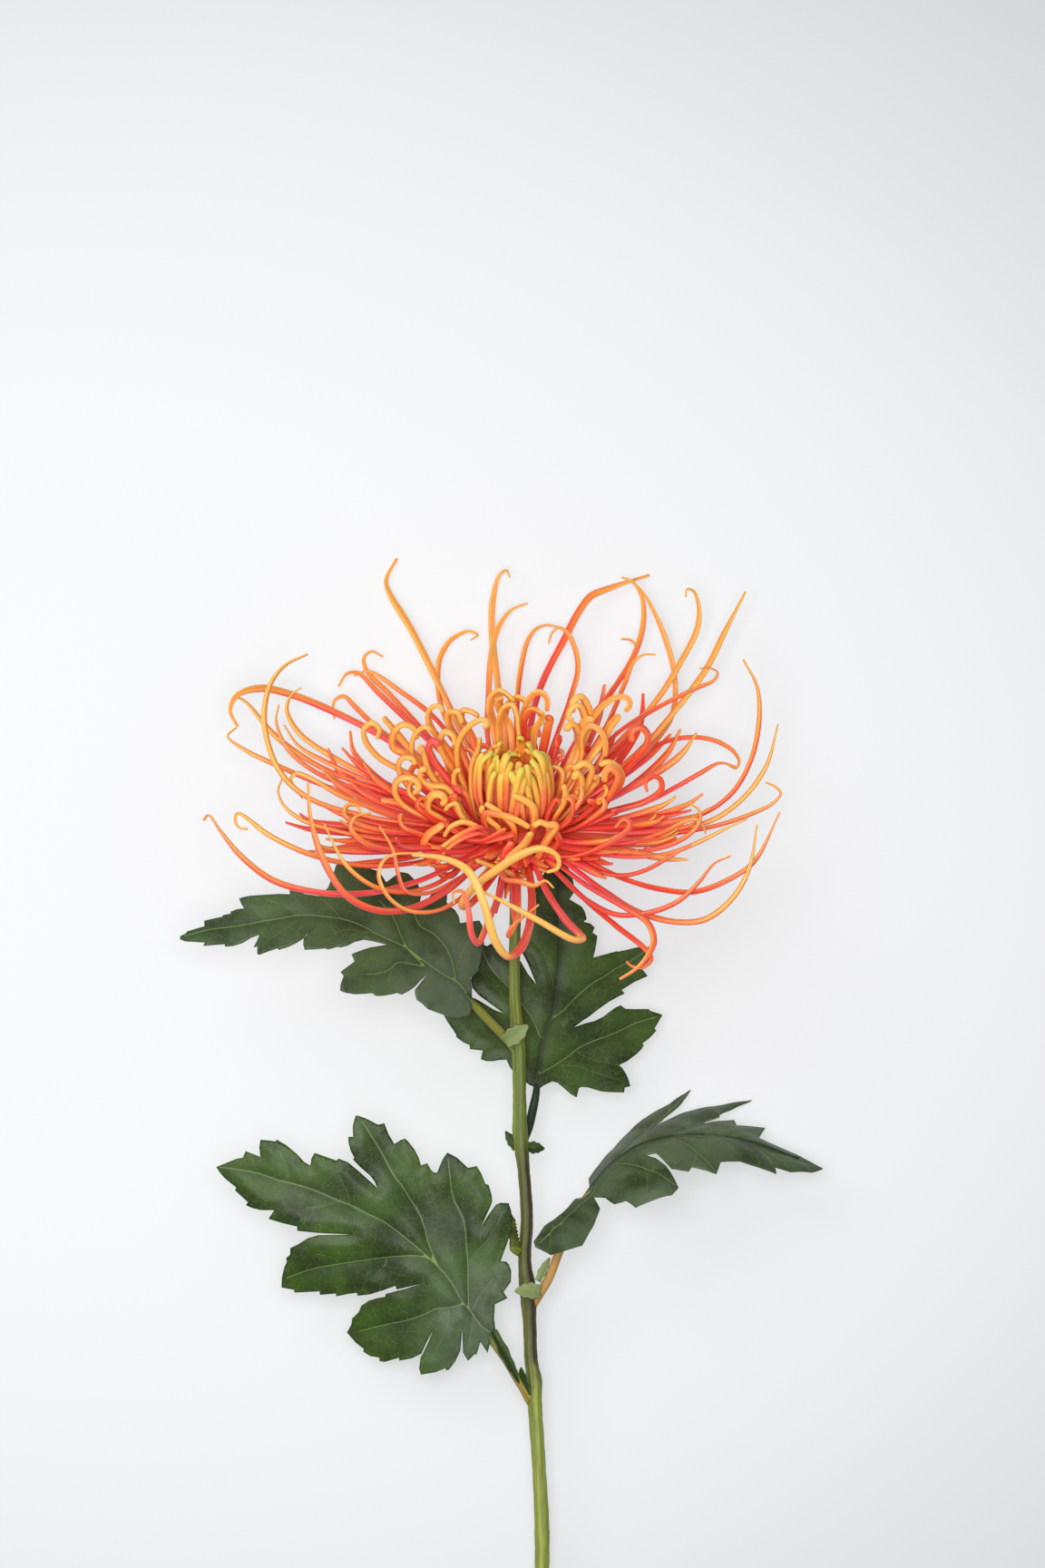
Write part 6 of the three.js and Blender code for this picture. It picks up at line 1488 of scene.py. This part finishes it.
# %% Inside and distance
def inside(points, loop):
    """Which points lie inside a closed loop."""
    found = np.zeros(len(points), bool)
    for (x0, y0), (x1, y1) in zip(loop, np.roll(loop, -1, 0)):
        crosses = (y0 > points[:, 1]) != (y1 > points[:, 1])
        with np.errstate(divide="ignore", invalid="ignore"):
            found ^= crosses & (points[:, 0] < (x1 - x0) * (points[:, 1] - y0) / (y1 - y0) + x0)
    return found


def distance(points, lines):
    """How far each point is from the nearest of some polylines."""
    best = np.full(len(points), 1e3)
    for line in lines:
        for a, b in zip(line, line[1:]):
            run = b - a
            t = np.clip((points - a) @ run / max(run @ run, 1e-9), 0, 1)
            best = np.minimum(best, np.linalg.norm(points - a - t[:, None] * run, axis=1))
    return best


SQUARE = np.array([[0, 0], [4, 0], [4, 4], [0, 4.0]])
print("inside a square:", inside(np.array([[2, 2], [5, 2.0]]), SQUARE).tolist())

# %% [markdown]
# ## A flat blade
# The blade starts as a flat sheet. Filling its outline with one face would leave nothing to
# bend. A grid of points joined into triangles bends evenly. It takes the veins as edges, so that
# they stay sharp.

# %% Flat mesh
MESH_STEP = 0.8
ROW_STEP = 0.87
EDGE_GAP = 0.4


def divided(loop):
    """The closed line with points put in so that none of its steps is much over the mesh's."""
    made = []
    for a, b in zip(loop, np.roll(loop, -1, 0)):
        count = max(1, round(np.linalg.norm(b - a) / MESH_STEP))
        made += [a + (b - a) * k / count for k in range(count)]
    return np.array(made)


def flat_mesh(loop, lines):
    """Points and triangles that fill the loop, with the lines as edges."""
    points, edges = list(map(tuple, loop)), []
    for line in lines:
        edges += [(len(points) + i, len(points) + i + 1) for i in range(len(line) - 1)]
        points += list(map(tuple, line))
    low, high = loop.min(0), loop.max(0)
    rows = np.arange(low[1], high[1], MESH_STEP * ROW_STEP)
    x, y = np.meshgrid(np.arange(low[0], high[0], MESH_STEP), rows)
    x[1::2] += MESH_STEP / 2
    grid = np.stack([x.ravel(), y.ravel()], 1)
    grid = grid[inside(grid, loop)]
    closed = np.vstack([loop, loop[:1]])
    grid = grid[distance(grid, [closed, *lines]) > EDGE_GAP * MESH_STEP]
    points += list(map(tuple, grid))
    outline = [list(range(len(loop)))]
    made = delaunay_2d_cdt(points, edges, outline, 1, 1e-4)
    return np.array([tuple(p) for p in made[0]]), [list(face) for face in made[2]]


print("a 4 mm square has", len(flat_mesh(divided(SQUARE), [])[1]), "triangles")

# %% [markdown]
# ## The blade's surface
# A real blade arches and dips smoothly. Subdividing a few corners could give that, but not keep
# the drawn edge. Instead a thin-plate surface, which bends like a sheet of spring steel, is laid
# through known heights, and any point of the sheet can be lifted to it.

# %% Smooth surface
SMOOTHING = 0.4


def surface_through(flat, height):
    """A smooth height over the flat leaf that passes close to the heights at some points."""
    def kernel(a, b):
        r2 = ((a[:, None] - b[None]) ** 2).sum(2) + 1e-9
        return r2 * np.log(r2) / 2

    count = len(flat)
    frame_part = np.hstack([np.ones((count, 1)), flat])
    system = np.zeros((count + 3, count + 3))
    system[:count, :count] = kernel(flat, flat) + SMOOTHING * count * np.eye(count)
    system[:count, count:] = frame_part
    system[count:, :count] = frame_part.T
    solved = np.linalg.solve(system, np.append(height, [0, 0, 0]))

    def height_at(at):
        plane = np.hstack([np.ones((len(at), 1)), at])
        return kernel(at, flat) @ solved[:count] + plane @ solved[count:]

    return height_at


level_check = surface_through(SQUARE, np.ones(4))(np.array([[2, 2.0]]))
print("height in the middle of a level square:", level_check.round(2).tolist())

# %% [markdown]
# ## Relief
# Between its veins a blade puffs up, and along them it sinks. A bump map would show this in the
# middle but not in outline, so it is made in the mesh.

# %% Relief
def relief(flat, to_main, to_side, to_edge):
    """The blade swells between its veins, sinks along them and ripples a little."""
    inner = 0.35 + 0.65 * smooth(0, 3.5, to_edge)
    puff = (1 - np.exp(-to_main / 3.2)) * 0.75 + (1 - np.exp(-to_side / 2)) * 0.25
    ripple = np.sin(flat[:, 0] * 0.42 + flat[:, 1] * 0.17) * np.sin(flat[:, 1] * 0.38)
    crinkle = np.sin(flat[:, 0] * 1.3 + 2 * np.sin(flat[:, 1] * 0.9)) * np.sin(flat[:, 1] * 1.15)
    return puff * inner - 0.6 + 0.14 * ripple + 0.02 * crinkle


vein_check = relief(np.zeros((1, 2)), np.zeros(1), np.zeros(1), np.ones(1))
print("relief in a main vein, in mm:", vein_check.round(2))

# %% [markdown]
# ## Thickness
# A leaf is about half a millimetre thick and paler below. A Solidify modifier could thicken the
# sheet, but here the material has to know the lower face, so it is made and marked by hand.

# %% Thickness
BLADE_THICKNESS = 0.45


def thickened(top, triangles, flat, **values):
    """A thin closed skin: the upper face, the same face below it, and the rim between."""
    faces = np.array(triangles)
    corner = top[faces]
    face_normal = np.cross(corner[:, 1] - corner[:, 0], corner[:, 2] - corner[:, 0])
    flip = face_normal[:, 2].sum() < 0
    if flip:
        faces, face_normal = faces[:, ::-1], -face_normal
    normal = np.zeros_like(top)
    for k in range(3):
        np.add.at(normal, faces[:, k], face_normal)
    normal /= np.maximum(np.linalg.norm(normal, axis=1), 1e-9)[:, None]
    count = len(top)
    half = {(a, b) for a, b, c in faces.tolist() for a, b in ((a, b), (b, c), (c, a))}
    rim = [[a, a + count, b + count, b] for a, b in half if (b, a) not in half]
    skin = Skin()
    skin.add(
        np.vstack([top, top - normal * BLADE_THICKNESS]),
        faces.tolist() + (faces[:, ::-1] + count).tolist() + rim,
        under=np.repeat([0.0, 1.0], count),
        flat_x=np.tile(flat[:, 0], 2), flat_y=np.tile(flat[:, 1], 2),
        **{key: np.tile(np.broadcast_to(value, count), 2) for key, value in values.items()},
    )
    return skin


print("blades are", BLADE_THICKNESS, "mm thick")

# %% [markdown]
# ## Open leaves
# An open leaf is drawn in front view and lifted to the packed solid's upper face, so that it
# keeps the solid's shape in space and gains the drawn edge.

# %% Open blade
UPWARD = 0.3
GREY_SHEEN_REACH = (30, 6)
GROOVE_WIDTH = 0.7


def upper_corners(node):
    """The corners of a packed solid's upward faces, in the flower's frame."""
    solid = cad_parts[node]
    turn = solid.matrix_world.to_3x3()
    found = {i for face in solid.data.polygons if (turn @ face.normal).z > UPWARD for i in face.vertices}
    corners = np.array([tuple(solid.matrix_world @ solid.data.vertices[i].co) for i in sorted(found)])
    return (corners - ROW_OFFSET) / MM @ TO_ROW


def lifted_sheet(edge, main, side, height):
    """A flat mesh inside an edge, how far its points are from both kinds of vein, and their z."""
    flat, triangles = flat_mesh(edge, main + side)
    to_main, to_side = distance(flat, main), distance(flat, side)
    z = height(flat) + relief(flat, to_main, to_side, distance(flat, [edge]))
    return flat, triangles, to_main, to_side, z


def open_blade(leaf):
    edge = divided(spots(leaf["edge"]))
    main, side = ([smooth_curve(spots(line), 5) for line in leaf[key]] for key in ("veins", "side_veins"))
    known = upper_corners(leaf["name"])
    known = known[inside(known[:, :2], edge)]
    height = surface_through(known[:, :2], known[:, 2])
    flat, triangles, to_main, to_side, z = lifted_sheet(edge, main, side, height)
    top = np.stack([flat[:, 0], flat[:, 1], z], 1)
    ribs = np.column_stack([main[0], height(main[0])])
    # Painted shade: a dark line along the first main vein, where the midrib's groove is.
    groove = leaf["groove"] * np.exp(-((distance(flat, main[:1]) / GROOVE_WIDTH) ** 2))
    from_foot = np.linalg.norm(flat - np.array(leaf["stalk"][-1][:2]), axis=1)
    # Painted grey sheen, which grows towards the stalk's foot.
    grey = leaf["grey"] + leaf["dusty"] * smooth(*GREY_SHEEN_REACH, from_foot)
    values = {"main": to_main, "side": to_side, "grey": grey, "groove": groove}
    return thickened(top, triangles, flat, **values), ribs


print("the upper left leaf's solid has", len(upper_corners("leaf_upper_left")), "upper corners")

# %% [markdown]
# ## The folded leaf's veins
# In the folded leaf each lobe has a vein from the midrib to its tip and thinner ones to its
# teeth. Drawing them would repeat what the lobes already say, so they follow from them.

# %% Veins of the folded leaf
def place(side, ribs, point):
    """A leaf's point in space: given in full, or lifted from the nearest place on the midrib."""
    if len(point) == 3:
        return np.array(point, float)
    away = np.hypot(ribs[:, 0] - point[0], ribs[:, 1] - point[1])
    out = away.min()
    z = ribs[away.argmin(), 2] + side["rise"] * out - side["sag"] * out * out
    return np.array([point[0], point[1], z])


def lobe_vein(ribs, foot, tip):
    """A vein that leaves the midrib forwards and bends out to the lobe's tip."""
    forward = ribs[min(foot + 2, RIBS)] - ribs[foot]
    t = np.linspace(0, 0.95, 12)[:, None]
    middle = (ribs[foot] + tip) / 2 + forward * 0.3
    return (1 - t) ** 2 * ribs[foot] + 2 * t * (1 - t) * middle + t**2 * tip


def side_vein(vein, tooth):
    """A thin vein from a main one to a tooth of the edge, bending forwards."""
    away = np.linalg.norm(vein - tooth, axis=1)
    step = max(np.linalg.norm(vein[1] - vein[0]), 0.5)
    k = max(1, int(away.argmin() - 0.7 * away.min() / step))
    foot, forward = vein[k], (vein[min(k + 1, len(vein) - 1)] - vein[k - 1]) / step
    t = np.linspace(0, 0.82, 8)[:, None]
    middle = (foot + tooth) / 2 + forward * away.min() * 0.12
    return (1 - t) ** 2 * foot + 2 * t * (1 - t) * middle + t**2 * tooth


rib_check = np.linspace([0, 0, 0], [20, 0, 0], RIBS + 1)
vein_end = lobe_vein(rib_check, 2, np.array([10, 8, 0]))[-1]
print("the vein of a lobe with its tip at 10, 8 ends at", vein_end.round(1))

# %% [markdown]
# ## The folded leaf's outline
# The lobes go round the blade, up the left side from base to tip and back down the right. Both
# sides could be drawn as one line, but a lobe at a time is easier to place and to correct.

# %% Outline and veins of the folded leaf
def outline_and_veins(leaf):
    """The folded leaf's midrib, its edge loop from the base and round, and its veins."""
    ribs = spaced(smooth_curve(leaf["midrib"]), RIBS + 1)[0]
    edges, main, side_veins = {}, [ribs[:-1]], []
    for name in ("left", "right"):
        side = leaf[name]
        edge = []
        for foot, before, tip, after, notch in side["lobes"]:
            before, after = ([place(side, ribs, p) for p in part] for part in (before, after))
            tip, notch = place(side, ribs, tip), place(side, ribs, notch)
            vein = lobe_vein(ribs, foot, tip)
            main.append(vein)
            side_veins += [side_vein(vein, tooth) for tooth in before[-2:] + after[:2]]
            edge += [*before, tip, *after, notch]
        end = [place(side, ribs, p) for p in side["end"]]
        side_veins += [side_vein(ribs[foot:], tooth) for tooth in end]
        edges[name] = edge + end
    loop = np.array([ribs[0], *edges["left"], ribs[-1], *edges["right"][::-1]])
    return ribs, loop, main, side_veins


print("the folded leaf has", len(outline_and_veins(FOLDED_LEAF)[2]), "main veins")

# %% [markdown]
# ## The folded blade
# Seen from the front this blade covers itself, so it can't be filled in front view. Seen from
# halfway between the front and above it doesn't. There it is filled, and lifted like the others,
# through its outline and its midrib.

# %% Folded blade
def tilted(points):
    """Points seen from halfway between the front and above."""
    return np.stack([points[:, 0], points[:, 1] - points[:, 2]], 1)


def folded_blade(leaf):
    ribs, loop, main, side = outline_and_veins(leaf)
    known = np.vstack([ribs, loop])
    height = surface_through(tilted(known), known[:, 2])
    edge = divided(tilted(loop))
    main, side = [tilted(vein) for vein in main], [tilted(vein) for vein in side]
    flat, triangles, to_main, to_side, z = lifted_sheet(edge, main, side, height)
    top = np.stack([flat[:, 0], flat[:, 1] + z, z], 1)
    return thickened(top, triangles, flat, main=to_main, side=to_side, grey=leaf["grey"]), ribs


print("a point 10 mm forward is drawn at", tilted(np.array([[0, 0, 10]])).tolist())

# %% [markdown]
# ## Stalks
# A leaf's stalk runs on under the blade as its midrib, thinning towards the tip. A rod that ended
# at the blade would look glued on. So the line goes on below the blade's own midrib, less deep
# towards the tip. Each pair is a place on the midrib, of 20, and the depth there.

# %% Stalk
UNDER_BLADE = [(1, 1.6), (3, 1.7), (6, 1.5), (10, 1.3), (14, 1.1), (18, 1)]
STALK_SIDES = 14


def stalk_skin(leaf, ribs):
    ribs = spaced(ribs, RIBS + 1)[0]
    under = np.array([0, 0, -1])
    path = [np.array(p, float) + under * 0.5 for p in leaf["stalk"]]
    bare = np.linalg.norm(np.diff(path, axis=0), axis=1).sum()
    path += [ribs[k] + under * depth for k, depth in UNDER_BLADE]
    line, down = spaced(smooth_curve(path), 80)
    share = down / down[-1]
    radius = 1.25 + 0.5 * (1 - smooth(0, 0.05, share)) - 0.45 * smooth(bare - 6, bare + 6, down)
    radius -= 0.55 * smooth(bare, down[-1], down)
    points, faces, turns = tube(line, radius, STALK_SIDES, [0, 0, 1], 0.25)
    skin = Skin()
    down = per_ring(down, STALK_SIDES)
    tan = leaf["tan"] * (1 - smooth(bare - 4, bare + 1, down))
    deep = leaf["deep"] + (1 - leaf["deep"]) * smooth(bare - 2, bare + 2, down)
    skin.add(points, faces, down=down + 40, across=np.cos(turns), over=np.sin(turns), tan=tan, deep=deep)
    return skin


print("a stalk has", STALK_SIDES, "sides")

# %% [markdown]
# ## Stipules
# Small leafy stipules stand at a stalk's foot. They could be drawn like leaves but are too small
# to need it. Each is one curved sheet, widest near its middle, cupped and waved at its edge.

# %% Stipules
STIPULE_ROWS, STIPULE_COLUMNS = 15, 11


def stipule_skin(leaf):
    skin = Skin()
    for start, end, face, width in leaf["stipules"]:
        start, end, face = (np.array(p, float) for p in (start, end, face))
        ahead = end - start
        across = np.cross(ahead, face)
        across /= np.linalg.norm(across)
        face = np.cross(across, ahead) / np.linalg.norm(ahead)
        rows, columns = np.linspace(0, 1, STIPULE_ROWS), np.linspace(-1, 1, STIPULE_COLUMNS)
        u, v = np.meshgrid(rows, columns, indexing="ij")
        half = width / 2 * np.sin(math.pi * np.clip(u, 0.12, 1) ** 0.75) ** 0.7
        half *= 1 + 0.12 * np.sin(u * 21)
        lift = 0.25 * width * np.abs(v) ** 1.5 * (1 - u) + 0.12 * width * np.sin(u * math.pi)
        points = start + u[..., None] * ahead + (v * half)[..., None] * across + lift[..., None] * face
        triangles = []
        for i in range(STIPULE_ROWS - 1):
            for k in range(STIPULE_COLUMNS - 1):
                a = i * STIPULE_COLUMNS + k
                b = a + STIPULE_COLUMNS
                triangles += [[a, b, b + 1], [a, b + 1, a + 1]]
        flat = np.stack([u.ravel() * 8, v.ravel() * 3], 1)
        from_rib = np.abs(flat[:, 1]) + 0.2
        made = thickened(points.reshape(-1, 3), triangles, flat, main=from_rib, side=1.0, pale=leaf["pale"])
        values = {key: np.concatenate(parts) for key, parts in made.values.items()}
        skin.add(np.vstack(made.points), made.faces, **values)
    return skin


print("a stipule's sheet has", STIPULE_ROWS * STIPULE_COLUMNS, "points")

# %% [markdown]
# ## All four leaves
# Every leaf is a blade, a stalk and stipules. They could be one piece with two materials.
# Separate pieces were chosen, because each then takes one material and can be found by its name.

# %% Leaves
for leaf in (UPPER_LEFT, UPPER_RIGHT, LOWER_LEFT, FOLDED_LEAF):
    blade, ribs = open_blade(leaf) if "edge" in leaf else folded_blade(leaf)
    make_piece(leaf["name"] + "_blade", blade, leaf_material, [leaf["name"]])
    make_piece(leaf["name"] + "_stalk", stalk_skin(leaf, ribs), stem_material)
    make_piece(leaf["name"] + "_stipules", stipule_skin(leaf), leaf_material)

# %% [markdown]
# ## The floor
# The flower lies on a pale surface with a painted pool of light: its colour darkens a little away
# from one place. A light with a narrow beam could do this, but its edge is hard to place. Here the
# distance from that place is an attribute of the floor, and the floor glows a little so that
# shadows on it stay faint.

# %% Floor
FLOOR_SIZE = 6.0
FLOOR_GLOW = 1.55
FLOOR_POINTS = 81
BRIGHT_PLACE = (-0.09, 0.1)
BRIGHT_RADIUS = 0.42
BRIGHT_NARROWING = 1.25


def floor_colour(tree):
    # Painted light: the floor's colour and glow are darker away from the bright place.
    shade = attribute(tree, "far").ramp(0.0, 1.0).mix("#9E9FA0", "#888A8C")
    return {"Base Color": shade, "Emission Color": shade}


def add_floor():
    """A wide plane, pale near a place left of the bloom and a little darker away from it, as a painted pool
    of light.
    """
    steps = np.linspace(-1, 1, FLOOR_POINTS) ** 3 * FLOOR_SIZE
    x, y = np.meshgrid(steps, steps)
    count = len(steps)
    faces = [
        [i * count + k, i * count + k + 1, (i + 1) * count + k + 1, (i + 1) * count + k]
        for i in range(count - 1)
        for k in range(count - 1)
    ]
    mesh = bpy.data.meshes.new("floor")
    mesh.from_pydata(np.stack([x.ravel(), y.ravel(), 0 * x.ravel()], 1).tolist(), [], faces)
    away = np.hypot(x - BRIGHT_PLACE[0], (y - BRIGHT_PLACE[1]) * BRIGHT_NARROWING).ravel()
    far = away / BRIGHT_RADIUS
    mesh.attributes.new("far", "FLOAT", "POINT").data.foreach_set("value", (far**2).astype(np.float32))
    mesh.materials.append(material("floor", floor_colour, Roughness=0.9, Emission_Strength=FLOOR_GLOW))
    floor = bpy.data.objects.new("floor", mesh)
    bpy.context.scene.collection.objects.link(floor)


add_floor()
print("floor of", 2 * FLOOR_SIZE, "m")

# %% [markdown]
# ## Lights
# Soft daylight comes from the front, and a little more from the upper left. A sun lamp would
# draw hard shadows, so both are area lights, wide for their distance.

# %% Lights
LIT_PLACE = np.array([0, 0.04, 0.03])


def vector_angles(direction):
    """The rotation that turns a light from straight down to a direction."""
    x, y, z = direction / np.linalg.norm(direction)
    return math.acos(-z), 0, math.atan2(x, -y) + math.pi


def add_light(name, place, size, power):
    data = bpy.data.lights.new(name, "AREA")
    data.energy, data.size = power, size
    light = bpy.data.objects.new(name, data)
    light.location = place
    light.visible_camera = False
    light.rotation_euler = vector_angles(LIT_PLACE - place)
    bpy.context.scene.collection.objects.link(light)


add_light("front", (-0.06, -0.1, 1.3), 0.4, 11.5)
add_light("key", (-0.45, 0.4, 0.8), 0.6, 3)
print("lights:", [light.name for light in bpy.data.lights])

# %% [markdown]
# ## Camera
# The camera looks squarely at the flower's front from four metres away. A short lens close by
# would frame it as well, but would swell the florets nearest to it, so the lens is long.

# %% Camera
VIEW_CENTRE = np.array([2, 13, 0])
VIEW_HEIGHT = 432
CAMERA_DISTANCE = 4000
SENSOR = 36


def add_camera():
    data = bpy.data.cameras.new("camera")
    data.sensor_width = SENSOR
    data.lens = SENSOR * CAMERA_DISTANCE / VIEW_HEIGHT
    data.clip_start, data.clip_end = 0.1, 20
    camera = bpy.data.objects.new("camera", data)
    camera.location = rotated(VIEW_CENTRE + [0, 0, CAMERA_DISTANCE]) + ROW_OFFSET
    camera.rotation_euler = (HEAD_LIFT, 0, 0)
    bpy.context.scene.collection.objects.link(camera)
    bpy.context.scene.camera = camera
    return camera


camera = add_camera()
print("lens of", round(camera.data.lens, 1), "mm")

# %% [markdown]
# ## The light all round
# The room reflects light from all sides. More lamps could imitate it, but a plain white world
# fills the shadows evenly. Colours are shown as they are, without a film's curve.

# %% World
WORLD_STRENGTH = 0.27
world = bpy.data.worlds.new("studio")
world.use_nodes = True
background = world.node_tree.nodes["Background"]
background.inputs["Color"].default_value = (1, 1, 1, 1)
background.inputs["Strength"].default_value = WORLD_STRENGTH
bpy.context.scene.world = world
bpy.context.scene.view_settings.view_transform = "Standard"
print("world strength", WORLD_STRENGTH)

# %% [markdown]
# ## Sizes
# Every point of the dressed flower is pulled into the packed solids' box as it is made, so it
# keeps within their size.
